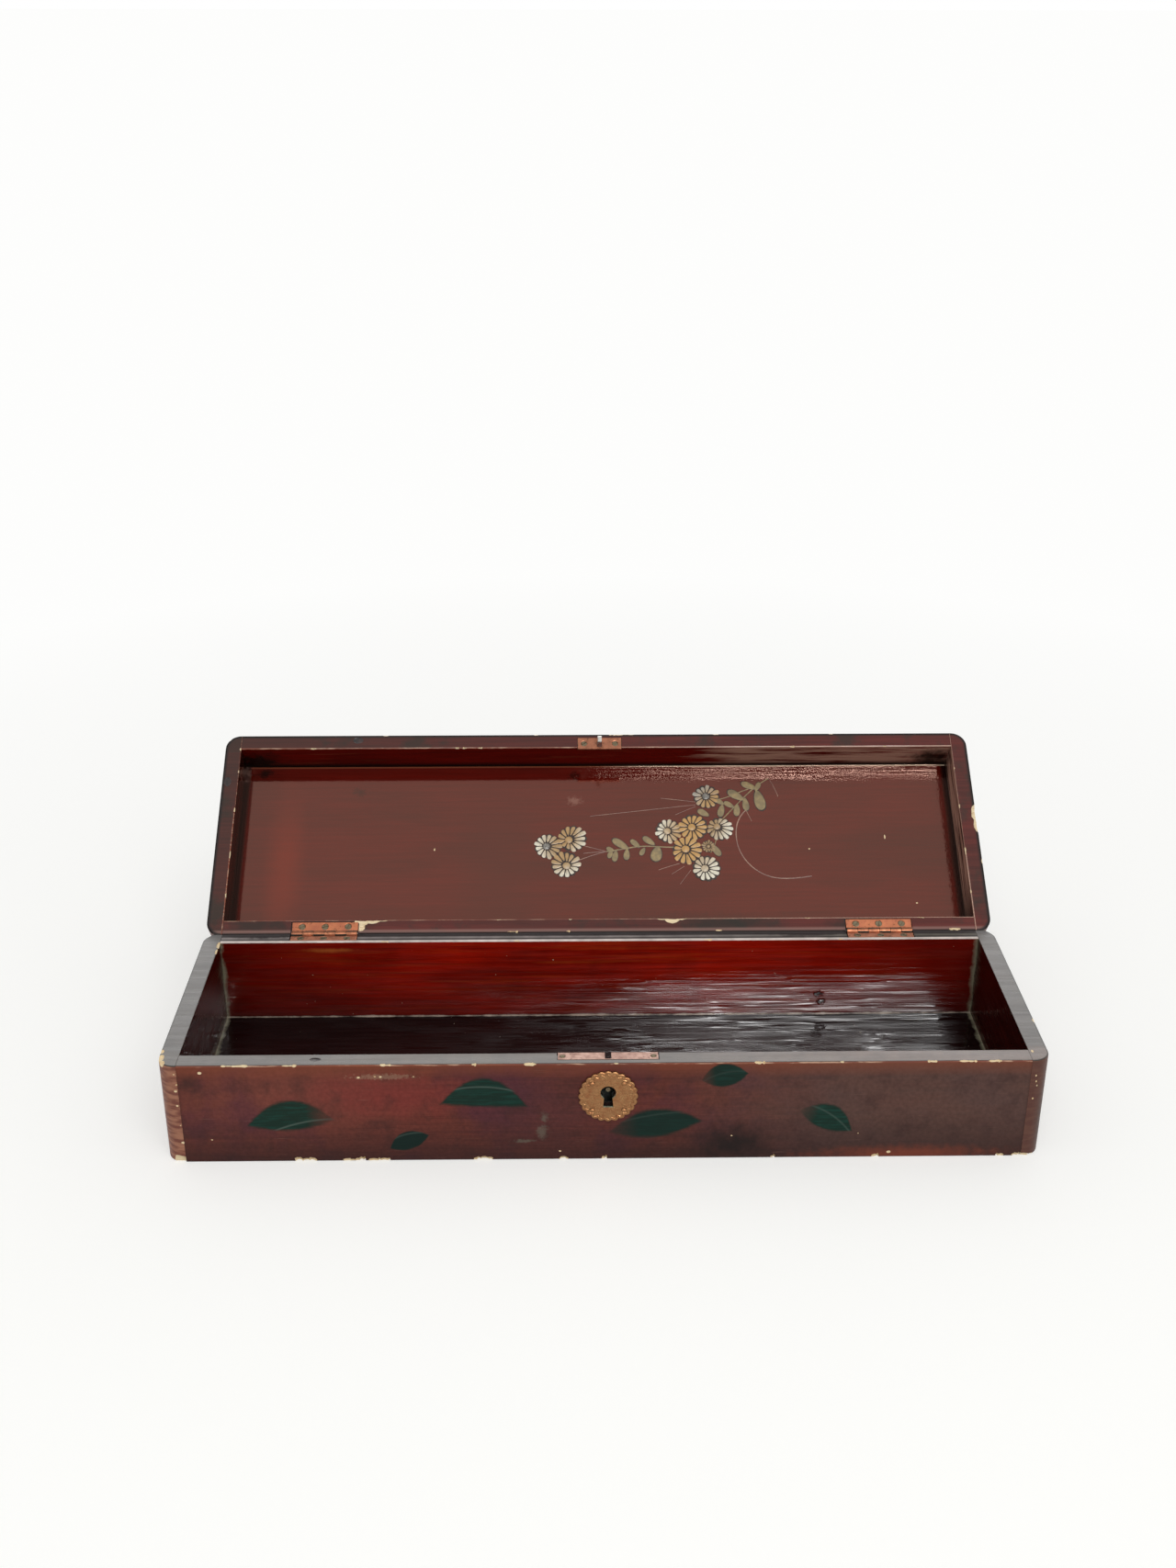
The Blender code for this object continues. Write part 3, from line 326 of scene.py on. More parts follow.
class Coat:
    """A finish in the making: its nodes, the place that its patterns read, and its tone so far.

    Blotches, spots, patches and relief are given in millimetres.
    """

    def __init__(self, name, on_lid=False, along="x"):
        self.material = bpy.data.materials.new(name)
        self.material.use_nodes = True
        self.tree = self.material.node_tree
        self.add = partial(add_node, self.tree)
        self.shader = self.tree.nodes["Principled BSDF"]
        self.place = self.add("TexCoord", output="Object")
        if on_lid:
            flat = LID_TURN.inverted()
            self.place = self.add("Mapping", (self.place, flat.translation, flat.to_euler()))
        self.x, self.y, self.z = self.add("SeparateXYZ", (self.place,)).node.outputs
        self.grain = self.place
        if along == "y":
            self.grain = self.add("Mapping", {"Vector": self.place, "Rotation": (0, 0, math.pi / 2)})
        self.tone = None

    def blotches(self, length, width=None, detail=3.0):
        """Soft blotches of a length, drawn out along the grain where they have a width too."""
        across = 1 / ((width or length) * MM)
        drawn = self.add("Mapping", {"Vector": self.grain, "Scale": (1 / (length * MM), across, across)})
        return self.add("TexNoise", {"Vector": drawn, "Scale": 1.0, "Detail": detail, "Roughness": 0.58})

    def spot(self, middle, reach, soft=0.0, ragged=0.0, grit=3):
        """A share that falls from 1 in the middle of an oval to 0 past its reach, with a ragged edge."""
        oval = {"Vector": self.place, "Location": Vector(middle) * MM, "Scale": Vector(reach) * MM}
        local = self.add("Mapping", oval, vector_type="TEXTURE")
        away = self.add("VectorMath", (local,), output="Value", operation="LENGTH")
        away = self.add("Math", (self.blotches(grit), 2 * ragged, away), operation="MULTIPLY_ADD")
        falling = (away, 1.0 + ragged, soft + ragged, 0.0, 1.0)
        return self.add("MapRange", falling, interpolation_type="SMOOTHSTEP")

    def layer(self, colour, pattern=None, low=0.0, high=1.0, share=1.0):
        """Lays a colour over the tone so far, where a pattern's value goes from low to high."""
        if isinstance(colour, str):
            colour = linear(colour)
        if not isinstance(colour, bpy.types.NodeSocket):
            colour = (*colour, 1)
        if pattern is None:
            self.tone = self.add("Mix", {0: 1.0, 7: colour}, output=2, data_type="RGBA")
            return
        amount = self.add("MapRange", (pattern, low, high, 0.0, share))
        self.tone = self.add("Mix", {0: amount, 6: self.tone, 7: colour}, output=2, data_type="RGBA")

    def patch(self, colour, middle, reach, share, soft=0.0, ragged=0.0, grit=3):
        """Lays a colour over the tone so far in one spot."""
        self.layer(colour, self.spot(middle, reach, soft, ragged, grit), share=share)

    def shade(self, pattern, contrast):
        """Darkens and lightens the tone so far with a pattern."""
        factor = self.add("MapRange", (pattern, 0.28, 0.72, 1 - contrast, 1 + contrast))
        inputs = {0: 1.0, 6: self.tone, 7: factor}
        self.tone = self.add("Mix", inputs, output=2, data_type="RGBA", blend_type="MULTIPLY")

    def finish(self, gloss, pattern, relief=None, depth=0.0, **fixed):
        """Joins tone, roughness and relief to the shader, and sets its fixed values."""
        rough = self.add("MapRange", (pattern, 0.3, 0.7, *gloss))
        self.tree.links.new(self.tone, self.shader.inputs["Base Color"])
        self.tree.links.new(rough, self.shader.inputs["Roughness"])
        if relief is not None:
            normal = self.add("Bump", {"Height": relief, "Distance": depth * MM, "Strength": 1.0})
            self.tree.links.new(normal, self.shader.inputs["Normal"])
        for name, value in fixed.items():
            self.shader.inputs[name.replace("_", " ").title().replace("Ior", "IOR")].default_value = value


def corner_grime_and_highlight(coat, colour, coordinate, line, reach, share):
    """Colour along a corner, on both sides of the middle: used for settled dust and for a painted highlight
    along a seam.
    """
    from_middle = coat.add("Math", (coordinate,), operation="ABSOLUTE")
    away = coat.add("Math", (from_middle, line), operation="SUBTRACT")
    away = coat.add("Math", (away,), operation="ABSOLUTE")
    ragged = coat.add("Math", (coat.blotches(6, detail=5.0), -4 * reach, away), operation="MULTIPLY_ADD")
    coat.layer(colour, ragged, -0.8 * reach, -2.2 * reach, share)


def rounded_edge(coat, middle_y):
    """How far a point lies past the square core of the rim, so that corners are followed round."""
    half_y = (BACK_HIGH.y - FRONT_LOW.y) / 2
    past_y = coat.add("Math", (coat.y, middle_y), operation="SUBTRACT")
    reach = []
    for distance, core in ((coat.x, OUTER_X - CORNER_ROUND), (past_y, half_y - CORNER_ROUND)):
        from_middle = coat.add("Math", (distance,), operation="ABSOLUTE")
        past = coat.add("Math", (from_middle, core), operation="SUBTRACT")
        reach.append(coat.add("Math", (past, 0.0), operation="MAXIMUM"))
    corner = coat.add("CombineXYZ", reach)
    return coat.add("VectorMath", (corner,), output="Value", operation="LENGTH")


def painted_leaf(coat, leaf, green):
    """A hand-painted leaf with a feathered edge and a pale vein, on the front face."""
    (x, z), half, turn, over, under, fade, (vein_high, vein_slope, vein_bow), pale, deep = leaf
    place = (coat.place, (x * MM, FRONT_LOW.y, z * MM), (0, -math.radians(turn), 0), [half * MM] * 3)
    local = coat.add("Mapping", place, vector_type="TEXTURE")
    along, _, up = coat.add("SeparateXYZ", (local,)).node.outputs
    squared = coat.add("Math", (along, along), operation="MULTIPLY")
    swell = coat.add("Math", (squared, -1.0, 1.0), operation="MULTIPLY_ADD")
    high = coat.add("Math", (swell, over), operation="MULTIPLY")
    high = coat.add("Math", (high, up), operation="SUBTRACT")
    low = coat.add("Math", (swell, under, up), operation="MULTIPLY_ADD")
    within = coat.add("Math", (high, low), operation="MINIMUM")
    feathered = coat.add("Math", (coat.blotches(4, 0.8, 4.0), 0.1, within), operation="MULTIPLY_ADD")
    share = coat.add("MapRange", (feathered, 0.01, 0.13, 0.0, 0.97), interpolation_type="SMOOTHSTEP")
    if fade:
        ending = coat.add("Math", (along, float(fade)), operation="MULTIPLY")
        thin = coat.add("MapRange", (ending, 0.35, 1.0, 1.0, 0.3))
        share = coat.add("Math", (share, thin), operation="MULTIPLY")
    coat.layer(green, share)
    brushed = coat.add("Math", (share, coat.blotches(7, 0.7, 4.0)), operation="MULTIPLY")
    coat.layer("#164036", brushed, 0.44, 0.62, 0.7 * (1 - deep))
    coat.layer("#071a18", share, share=deep)
    line = coat.add("Math", (along, vein_slope, vein_high), operation="MULTIPLY_ADD")
    line = coat.add("Math", (squared, vein_bow, line), operation="MULTIPLY_ADD")
    off = coat.add("Math", (up, line), operation="SUBTRACT")
    off = coat.add("Math", (off,), operation="ABSOLUTE")
    vein = coat.add("MapRange", (off, 0.15 / half, 0.55 / half, pale, 0.0))
    coat.layer("#66756c", coat.add("Math", (vein, share), operation="MULTIPLY"))


def aged_lacquer(name, colour, stain, stained, contrast, on_lid=False, along="x"):
    """Lacquer brushed over wood: the grain shows through as streaks, with stained patches."""
    coat = Coat(name, on_lid, along)
    coat.layer(colour)
    coat.layer(stain, coat.blotches(90, 22), 0.44, 0.68, stained)
    coat.streak = coat.blotches(38, 1.3, 5.0)
    coat.shade(coat.streak, contrast)
    coat.shade(coat.blotches(14, 0.5), contrast / 2)
    return coat


def blotched(name, colour, layers, gloss, sheen, relief=None, depth=0.0, **fixed):
    """A finish of one colour under layers, each a colour, its blotches, and where and how far they cover."""
    coat = Coat(name)
    coat.layer(colour)
    for over, blotches, *cover in layers:
        coat.layer(over, coat.blotches(*blotches), *cover)
    coat.finish(gloss, coat.blotches(*sheen), relief and coat.blotches(relief), depth, **fixed)


def front_lacquer(settings):
    """Front: faded brown lacquer whose gloss has gone soft, with leaves painted in green."""
    face = FRONT_LOW.y / MM
    front = aged_lacquer("front lacquer", settings.outside, settings.stain, 0.35, 0.27)
    front.patch("#7b4237", (-112, face, 26), (60, 9, 30), 0.8)
    front.patch("#80332f", (-72, face, 27), (50, 9, 13), 0.6, ragged=0.6, grit=9)
    front.layer("#472433", front.blotches(27, detail=4.0), 0.48, 0.66, 0.6)
    front.layer("#58433c", front.x, 20 * MM, 80 * MM, 0.8)
    front.patch("#4c2a2e", (-20, face, 20), (34, 9, 24), 0.6, ragged=0.5, grit=9)
    front.layer("#2f1d1c", front.z, 19 * MM, 0.0, 0.8)
    front.layer("#33201f", front.blotches(9, detail=6.0), 0.5, 0.7, 0.5)
    front.shade(front.blotches(1.4, detail=2.0), 0.14)
    front.layer("#8f6c5e", front.blotches(13, 0.45, 4.0), 0.64, 0.74, 0.35)
    front.patch("#1d1514", (44, face, 6), (21, 9, 12), 0.95, ragged=0.5, grit=5)
    seam = front.add("Math", (front.x,), operation="ABSOLUTE")
    front.layer(settings.stain, seam, INNER_X - 1.0 * MM, INNER_X - 0.3 * MM, 0.25)
    front.patch(settings.stain, (-142, face, 33), (6, 9, 6), 0.7, ragged=0.6)
    front.patch("#7d3f2f", (105, face, 1.5), (46, 9, 5), 0.85, ragged=0.5)
    front.layer(ORANGE_GROUND, front.z, RIM - 6 * MM, RIM, 0.6)
    for x, z, wide, high in ((-21.8, 12.0, 2.4, 4.0), (-21.0, 18.0, 1.6, 3.0), (-28.0, 8.0, 5.0, 1.0)):
        front.patch("#6d685b", (x, face, z), (wide, 9, high), 0.5, 0.2, 0.8, 1.2)
    front.patch("#a5866f", (-76, face, 35), (13, 9, 1.4), 0.4, 0.4, 1.3, 1.0)
    for leaf in FRONT_LEAVES:
        painted_leaf(front, leaf, settings.leaf)
    front.finish((0.34, 0.5), front.streak, front.streak, 0.012, specular_ior_level=DULL)


def end_lacquer(settings):
    """End boards: grain runs front to back, and paler end grain shows at the round corners."""
    ends = aged_lacquer("end board lacquer", settings.outside, settings.stain, 0.6, 0.15, along="y")
    ticks = ends.add("Mapping", {"Vector": ends.place, "Scale": (160, 160, 700)})
    ticks = ends.add("TexNoise", {"Vector": ticks, "Scale": 1.0, "Detail": 4.0})
    rings = ends.add("MapRange", (ticks, 0.4, 0.62))
    dark, pale = ((*linear(code), 1) for code in ("#825044", "#b98469"))
    growth = ends.add("Mix", {0: rings, 6: dark, 7: pale}, output=2, data_type="RGBA")
    across = ends.add("Math", (ends.y,), operation="ABSOLUTE")
    ends.layer(growth, across, BACK_HIGH.y - 5.5 * MM, BACK_HIGH.y - 2.5 * MM, 0.7)
    ends.layer("#573a33", ends.x, 0.0, 1 * MM, 0.85)
    # Painted shade: a dark band on the right end's round front corner
    ends.patch("#3c352e", (OUTER_X / MM, FRONT_LOW.y / MM + 6, 14), (6, 9, 30), 0.95)
    ends.finish((0.32, 0.5), ends.streak, ends.streak, 0.012, specular_ior_level=DULL)


def plain_lacquers(settings):
    """Backs and outsides, where no leaf is painted, and the outer edges of the lid's rim, painted dull and
    dark as a dark reflection.
    """
    for name, colour, stain, stained, contrast, on_lid, gloss, depth, shine in (
        ("outside lacquer", settings.outside, settings.stain, 0.6, 0.15, False, (0.32, 0.5), 0.012, DULL),
        ("lid outside lacquer", settings.outside, settings.stain, 0.6, 0.15, True, (0.3, 0.45), 0.012, DULL),
        ("lid dark edge lacquer", "#1c1210", MOSS, 0.5, 0.2, True, (0.45, 0.6), 0.01, 0.05),
    ):
        coat = aged_lacquer(name, colour, stain, stained, contrast, on_lid)
        coat.finish(gloss, coat.streak, coat.streak, depth, specular_ior_level=shine)


def rubbed_edge_lacquers(settings):
    """Rubbed edges: lacquer worn thin to an orange ground, with pinpricks of wood. On the lid they also carry
    a painted highlight along the edge.
    """
    for name, on_lid in (("rubbed edge lacquer", False), ("lid rubbed edge lacquer", True)):
        edge = aged_lacquer(name, ORANGE_GROUND, settings.outside, 0.9, 0.2, on_lid)
        edge.layer("#c9a287", edge.blotches(7, 1.0, 4.0), 0.5, 0.62, 0.8)
        if on_lid:
            # Painted highlight: the lid's edges paler towards the right
            edge.layer("#d2b09c", edge.x, -10 * MM, 60 * MM, 0.6)
        edge.finish((0.3, 0.45), edge.streak, edge.streak, 0.01, specular_ior_level=0.4)


def inside_lacquers(settings):
    """Inside: unfaded red under a deep gloss, whose brushed ridges break up reflections."""
    for part, colour, along, ridge, shine in (
        ("wall", settings.inside, "x", 1.05, 0.5),
        # Painted shade: the ends are a much darker copy of the wall's red
        ("end", "#2c0503", "y", 1.05, 0.1),
        ("floor", settings.floor, "x", 1.8, 0.26),
    ):
        inner = aged_lacquer(f"inside {part} lacquer", colour, "#3a0703", 0.5, 0.32, along=along)
        if part == "wall":
            inner.layer("#a8421a", inner.blotches(45, 2.2, 4.0), 0.52, 0.76, 0.5)
            # Painted shade: darker towards the left end
            inner.layer("#3f0703", inner.x, -50 * MM, -140 * MM, 0.75)
            inner.patch("#b4622a", (-104, INNER_Y / MM, RIM / MM - 3.7), (14, 9, 1.3), 0.5, 0.1, 0.5)
            inner.layer("#560b05", inner.x, 50 * MM, 130 * MM, 0.85)
            inner.layer("#2a0502", inner.blotches(32, detail=5.0), 0.5, 0.68, 0.3)
            # Painted shade: darker towards the floor
            inner.layer("#2a0503", inner.z, FLOOR + 16 * MM, FLOOR, 0.6)
        # Painted shade: darker within a millimetre of the floor, in the crease at the walls' foot; the
        # floor's own face lies wholly in it
        inner.layer(SOOT_AND_SHADE, inner.z, FLOOR + 1.0 * MM, FLOOR + 0.1 * MM, 0.8)
        side = (inner.y, INNER_Y) if part == "end" else (inner.x, INNER_X)
        foot = (inner.y, INNER_Y) if part == "floor" else (inner.z, FLOOR)
        corner_grime_and_highlight(inner, "#8a8670", *side, 1.3 * MM, 0.9)
        # Painted highlight: a pale line along the seams at the foot
        corner_grime_and_highlight(inner, "#b9a99a", *foot, 0.5 * MM, 0.9)
        ridges = inner.blotches(30, ridge, 0.0)
        for knot in INNER_KNOTS:
            sunk = inner.spot(knot, (2.2, 1.8, 1.8), 0.3, 0.8, 1.2)
            inner.layer(SOOT_AND_SHADE, sunk)
            ridges = inner.add("Math", (ridges, sunk), operation="SUBTRACT")
        inner.layer("#b5ab98", inner.blotches(1.6, detail=2.0), 0.76, 0.78, 0.8)
        scoured = inner.add("MapRange", (inner.blotches(24, 1.3, 1.0), 0.46, 0.56, 0.3, 0.7))
        inner.finish((0.04, 0.26), scoured, ridges, 0.13, specular_ior_level=shine)


def rim_lacquers(settings):
    """Rims: rubbed by the lid, duller and greyed. The back one is dull, with a painted reflection and
    highlight, and a painted shadow under the lid along the hinge line.
    """
    for name, shadowed, shine in (("rim lacquer", 0.6, 0.5), ("back rim lacquer", 0.97, DULL)):
        rim = aged_lacquer(name, settings.rim, MOSS, 0.5, 0.1)
        if name == "rim lacquer":
            rim.layer("#6a564c", rim.x, 0.0, 120 * MM, 0.7)
            rim.layer("#342d26", rim.y, -INNER_Y, -INNER_Y + 3 * MM, 0.9)
        else:
            # Painted reflection: the dull back rim is painted grey, darker towards the right
            rim.layer("#7d7572")
            rim.layer("#4f4b40", rim.x, 20 * MM, 110 * MM, 0.9)
            # A thin black line just behind the pale inner edge
            from_line = rim.add("Math", (rim.y, INNER_Y + 1.8 * MM), operation="SUBTRACT")
            from_line = rim.add("Math", (from_line,), operation="ABSOLUTE")
            rim.layer(SOOT_AND_SHADE, from_line, 0.9 * MM, 0.3 * MM, 0.8)
            # Painted highlight along the inner edge
            rim.layer("#d9ccc4", rim.y, INNER_Y + 1.4 * MM, INNER_Y + 0.9 * MM, 0.9)
        # Painted shadow under the lid, along the back edge of the rims
        rim.layer(SOOT_AND_SHADE, rim.y, INNER_Y + 3.4 * MM, INNER_Y + 4.2 * MM, shadowed)
        for x, y, wide, deep in ((80, 42, 17, 2.4), (-131, 42.5, 14, 2.0)):
            rim.patch(SOOT_AND_SHADE, (x, y, RIM / MM), (wide, deep, 4), 0.85, 0.2, 0.7)
        rim.layer("#1b1d17", rounded_edge(rim, 0.0), 5.1 * MM, 5.7 * MM, 0.75)
        rim.shade(rim.blotches(6, detail=5.0), 0.3)
        rim.finish((0.24, 0.36), rim.streak, rim.streak, 0.008, specular_ior_level=shine)


def lid_panel_lacquer():
    """Lid panel: a mirror gloss over brown-red, cupped a little along its far edge, with painted shade beside
    the side rails and a painted highlight along the far wall's foot.
    """
    hinge, level = HINGE.y / MM, LID_PANEL / MM
    panel = aged_lacquer("lid panel lacquer", "#540b05", "#350c07", 0.6, 0.16, on_lid=True)
    panel.patch("#7a1c05", (-127, hinge + 36, level), (11, 48, 20), 0.6, ragged=0.2, grit=9)
    panel.patch("#3e150e", (-40, hinge + 36, level), (26, 44, 20), 0.5)
    panel.patch("#220504", (38, hinge + 12, level), (52, 6, 20), 0.6, ragged=0.4)
    for colour, x, v in (("#160402", -98.7, 70.8), ("#8a6054", -9.5, 66.4), ("#160402", -9.4, 78.2)):
        panel.patch(colour, (x, hinge + v, level), (4, 2.6, 9), 0.7, 0.1, 0.9, 1.5)
    panel.patch(SOOT_AND_SHADE, (-138, hinge + 80, level), (4, 2.6, 9), 0.9, 0.2, 0.8)
    panel.layer("#7a3f2a", panel.y, LID_FAR_WALL - 0.8 * MM, LID_FAR_WALL - 0.5 * MM, 0.9)
    # Painted shade along the panel beside the side rails
    beside = panel.add("Math", (panel.x,), operation="ABSOLUTE")
    panel.layer(SOOT_AND_SHADE, beside, LID_INNER_X - 2.4 * MM, LID_INNER_X - 1.2 * MM, 0.95)
    # Painted highlight: a pale line along the far wall's foot, paler towards the right
    pale = panel.add("MapRange", (panel.x, -30 * MM, 40 * MM, 0.0, 1.0))
    pale = panel.add("Math", (pale, panel.blotches(30, 9, 4.0)), operation="MULTIPLY")
    at_edge = panel.add("Math", (panel.y, LID_FAR_WALL - 0.6 * MM), operation="GREATER_THAN")
    pale = panel.add("Math", (pale, at_edge), operation="MULTIPLY")
    panel.layer("#d8bfa6", pale, 0.2, 0.5, 0.9)
    cup = panel.add("MapRange", (panel.y, LID_FAR_WALL - 14 * MM, LID_FAR_WALL, 0.0, 1.0))
    cup = panel.add("Math", (cup, cup), operation="MULTIPLY")
    pitted = panel.add("MapRange", (panel.x, -20 * MM, 30 * MM, 0.012, 0.07))
    wavy = panel.add("Math", (panel.blotches(1.1, detail=2.0), pitted, cup), operation="MULTIPLY_ADD")
    warm = (1.0, 0.6, 0.47, 1.0)
    panel.finish((0.05, 0.09), panel.streak, wavy, 0.6, specular_ior_level=1.0, specular_tint=warm)


def lid_wall_lacquers():
    """Lid walls: the deep red again, with painted shade at the foot where the panel's groove is, towards the
    hinge and in the far corners, and a painted glare towards the right.
    """
    # Painted shade: the side rails' walls are a much darker copy of the same red
    for part, colour, along in (("wall", "#6a0d05", "x"), ("side wall", "#300804", "y")):
        wall = aged_lacquer(f"lid {part} lacquer", colour, "#2c0603", 0.7, 0.25, True, along)
        wall.layer(ORANGE_GROUND, wall.blotches(30, 1.6, 4.0), 0.6, 0.8, 0.5)
        # Painted glare: pale streaks towards the right, where the window's reflection falls
        rubbed = wall.add("MapRange", (wall.x, 0.0, 60 * MM, 0.0, 1.0))
        rubbed = wall.add("Math", (rubbed, wall.blotches(24, 1.6, 4.0)), operation="MULTIPLY")
        wall.layer("#b88f7c", rubbed, 0.35, 0.54, 0.95)
        # Painted shade at the foot, in the panel's groove
        wall.layer(SOOT_AND_SHADE, wall.z, LID_PANEL + 4.0 * MM, LID_PANEL + 1.2 * MM)
        # Painted shade towards the hinge
        wall.layer(SOOT_AND_SHADE, wall.y, HINGE.y + 28 * MM, HINGE.y + 8 * MM, 0.9)
        # Painted shade in the far corners
        for x, wide in ((-141, 16), (140, 13)):
            corner = (x, LID_FAR_WALL / MM, LID_PANEL / MM + 5)
            wall.patch("#0f0f0a", corner, (wide, 9, 10), 0.9, 0.1, 0.6)
        ridges = wall.blotches(30, 1.3, 0.0)
        wall.finish((0.06, 0.12), wall.streak, ridges, 0.12, specular_ior_level=0.04)


def lid_rim_lacquer():
    """Lid rim: brown lacquer with mossy dark patches, a painted highlight along the edge by the hinge and a
    painted dark reflection on its outer round edge.
    """
    brim = aged_lacquer("lid rim lacquer", "#5a2019", MOSS, 0.4, 0.26, on_lid=True)
    brim.layer(MOSS, brim.blotches(11, detail=6.0), 0.52, 0.66, 0.7)
    far_rail = brim.add("Math", (brim.y, LID_FRONT - 8 * MM), operation="GREATER_THAN")
    from_right = brim.add("MapRange", (brim.x, 20 * MM, -130 * MM, 0.0, 0.5))
    brim.layer(MOSS, brim.add("Math", (far_rail, from_right), operation="MULTIPLY"))
    brim.layer(MOSS, brim.x, -145 * MM, -147 * MM, 0.45)
    for x, wide in ((47, 30), (-134, 16), (96, 9), (-104, 26)):
        brim.patch("#1f1d15", (x, HINGE.y / MM + 3, RIM / MM), (wide, 6, 6), 0.75, 0.1, 0.7, 7)
    # Painted highlight along the edge by the hinge
    brim.layer("#a07a70", brim.y, HINGE.y + 2.0 * MM, HINGE.y + 1.0 * MM, 0.6)
    # Painted dark reflection on the outer round edge
    brim.layer("#120c0a", rounded_edge(brim, (LID_BACK + LID_FRONT) / 2), 4.4 * MM, 5.3 * MM, 0.95)
    brim.finish((0.14, 0.24), brim.streak, brim.streak, 0.006, specular_ior_level=0.34)


def worn_through(settings):
    """What shows where the lacquer is gone or thin."""
    # Bare softwood in the chips: pale, dry and fibrous
    fibres = (("#b98f58", (4, 0.5, 4.0), 0.52, 0.75, 0.8),)
    blotched("bare wood", settings.wood, fibres, (0.75, 0.9), (2,), 0.6, 0.1)
    # Dents and knots: lacquer gone nearly black. The same finish lines recesses and the keyhole as painted
    # shade
    blotched("dark dent lacquer", "#1d1210", (("#3a2420", (1.5,), 0.45, 0.65),), (0.25, 0.4), (2,), 1, 0.05)
    # Underside: thin dull stain rubbed by tables
    under = aged_lacquer("underside stain", "#2c1c18", "#17100e", 0.8, 0.2)
    under.layer("#6b513c", under.blotches(9, detail=5.0), 0.62, 0.7, 0.6)
    under.finish((0.55, 0.75), under.streak, under.streak, 0.02)


def lacquers():
    """Every lacquer finish, made once: oil-bound lacquer on softwood, rubbed and darkened with age."""
    if "front lacquer" in bpy.data.materials:
        return
    settings = bpy.context.scene.box_lacquer
    front_lacquer(settings)
    end_lacquer(settings)
    plain_lacquers(settings)
    rubbed_edge_lacquers(settings)
    inside_lacquers(settings)
    rim_lacquers(settings)
    worn_through(settings)
    lid_panel_lacquer()
    lid_wall_lacquers()
    lid_rim_lacquer()


def metals():
    """Metal finishes, made once."""
    if "worn copper" in bpy.data.materials:
        return
    settings = bpy.context.scene.box_fittings

    # Copper sheet: warm, uneven tarnish with dark dirt in its pores, greyer where fingers and rain reach it
    for name, colour, tarnish in (
        ("worn copper", settings.copper, "#8a5240"),
        ("rubbed copper", "#9a664f", "#6e4a3a"),
        ("tarnished copper", "#a08478", "#7d5f55"),
        ("grimy copper", "#86563f", "#5a3a2c"),
    ):
        layers = ((tarnish, (3, None, 5.0), 0.4, 0.7, 0.8), ("#3d3024", (1.1, None, 4.0), 0.58, 0.72, 0.8))
        blotched(name, colour, layers, (0.42, 0.62), (1.5, None, 4.0), 0.7, 0.03, metallic=1.0)

    # Stippled brass: punched all over, dull in the pits and bright on the lobes
    brass = Coat("stippled brass")
    brass.layer(settings.brass)
    dots = brass.add("TexVoronoi", {"Vector": brass.place, "Scale": 1 / (0.75 * MM)}, output="Distance")
    brass.layer("#7d5236", brass.blotches(2.2, detail=4.0), 0.42, 0.68, 0.85)
    brass.layer("#c49a6c", dots, 0.3, 0.05, 0.7)
    brass.finish((0.4, 0.6), dots, dots, 0.07, metallic=1.0)

    # Verdigris: the pale crust on the keyhole's edge
    crust = (("#5d6a56", (0.8,), 0.4, 0.65),)
    blotched("verdigris edge", "#b9b79c", crust, (0.5, 0.7), (1,), 0.5, 0.05, metallic=0.4)

    # Dull iron: dark, oiled screws and lock works with a little rust
    rust = (("#4d3a28", (1.0, None, 4.0), 0.45, 0.7, 0.9),)
    blotched("dull iron", settings.iron, rust, (0.35, 0.6), (0.8,), 0.5, 0.03, metallic=1.0)

    # Sooty iron: the lock's works, black with old oil. The same near black is painted as shade in the gaps
    # beside the hinges' knuckles
    oil = (("#2c2f26", (1.5, None, 4.0), 0.45, 0.7),)
    blotched("sooty iron", "#171a16", oil, (0.5, 0.7), (1,), 0.5, 0.03, metallic=0.6)

    # Bright steel: the staple, polished by the bolt
    scuffs = (("#8f8a80", (0.9,), 0.5, 0.7, 0.7),)
    blotched("bright steel", settings.steel, scuffs, (0.34, 0.46), (1,), 0.4, 0.01, metallic=1.0)


def spray_paints():
    """Finishes of the flower spray, made once: powdered metal and shell white in lacquer."""
    if "petal paint" in bpy.data.materials:
        return
    settings = bpy.context.scene.box_spray

    # Petal paint: white on one side of a flower and gold on the other, rubbed on the high spots
    petal = Coat("petal paint")
    petal.layer(settings.tan)
    for name, colour in (("gold", settings.gold), ("grey", "#8f8d86"), ("white", settings.white)):
        petal.layer(colour, petal.add("Attribute", output="Fac", attribute_name=name))
    petal.shade(petal.blotches(0.9, detail=4.0), 0.18)
    petal.finish((0.4, 0.5), petal.blotches(1), petal.blotches(0.5), 0.02)

    # Outline: thin black-brown lacquer that the petals are drawn with
    blotched("outline lacquer", "#22140e", (("#38261a", (1,), 0.4, 0.6),), (0.3, 0.4), (1,))

    # Olive gold: thinner powder on leaves and stems
    powder = (("#b39a68", (1.8, None, 4.0), 0.45, 0.7, 0.7), ("#6c6146", (4, None, 2.0), 0.5, 0.7, 0.7))
    blotched("olive gold", settings.leaf, powder, (0.4, 0.5), (1,), 0.6, 0.02)

    # Thin gold: brushed grasses through which the lacquer shows
    blotched("thin gold", "#87645a", (("#b08d78", (8,), 0.42, 0.68),), (0.4, 0.5), (1,))

    # Silver heart: tarnished silver powder
    blotched("silver powder", "#9a958c", (("#5f5c56", (0.7,), 0.42, 0.62),), (0.35, 0.45), (1,), 0.4, 0.04)


def seen_share(tree):
    """1 where a surface is looked at, straight or in a reflection, and 0 where it only lights others."""
    rays = add_node(tree, "LightPath").node.outputs
    seen = rays["Is Camera Ray"]
    for kind in ("Is Glossy Ray", "Is Transmission Ray"):
        seen = add_node(tree, "Math", (seen, rays[kind]), operation="MAXIMUM")
    return seen


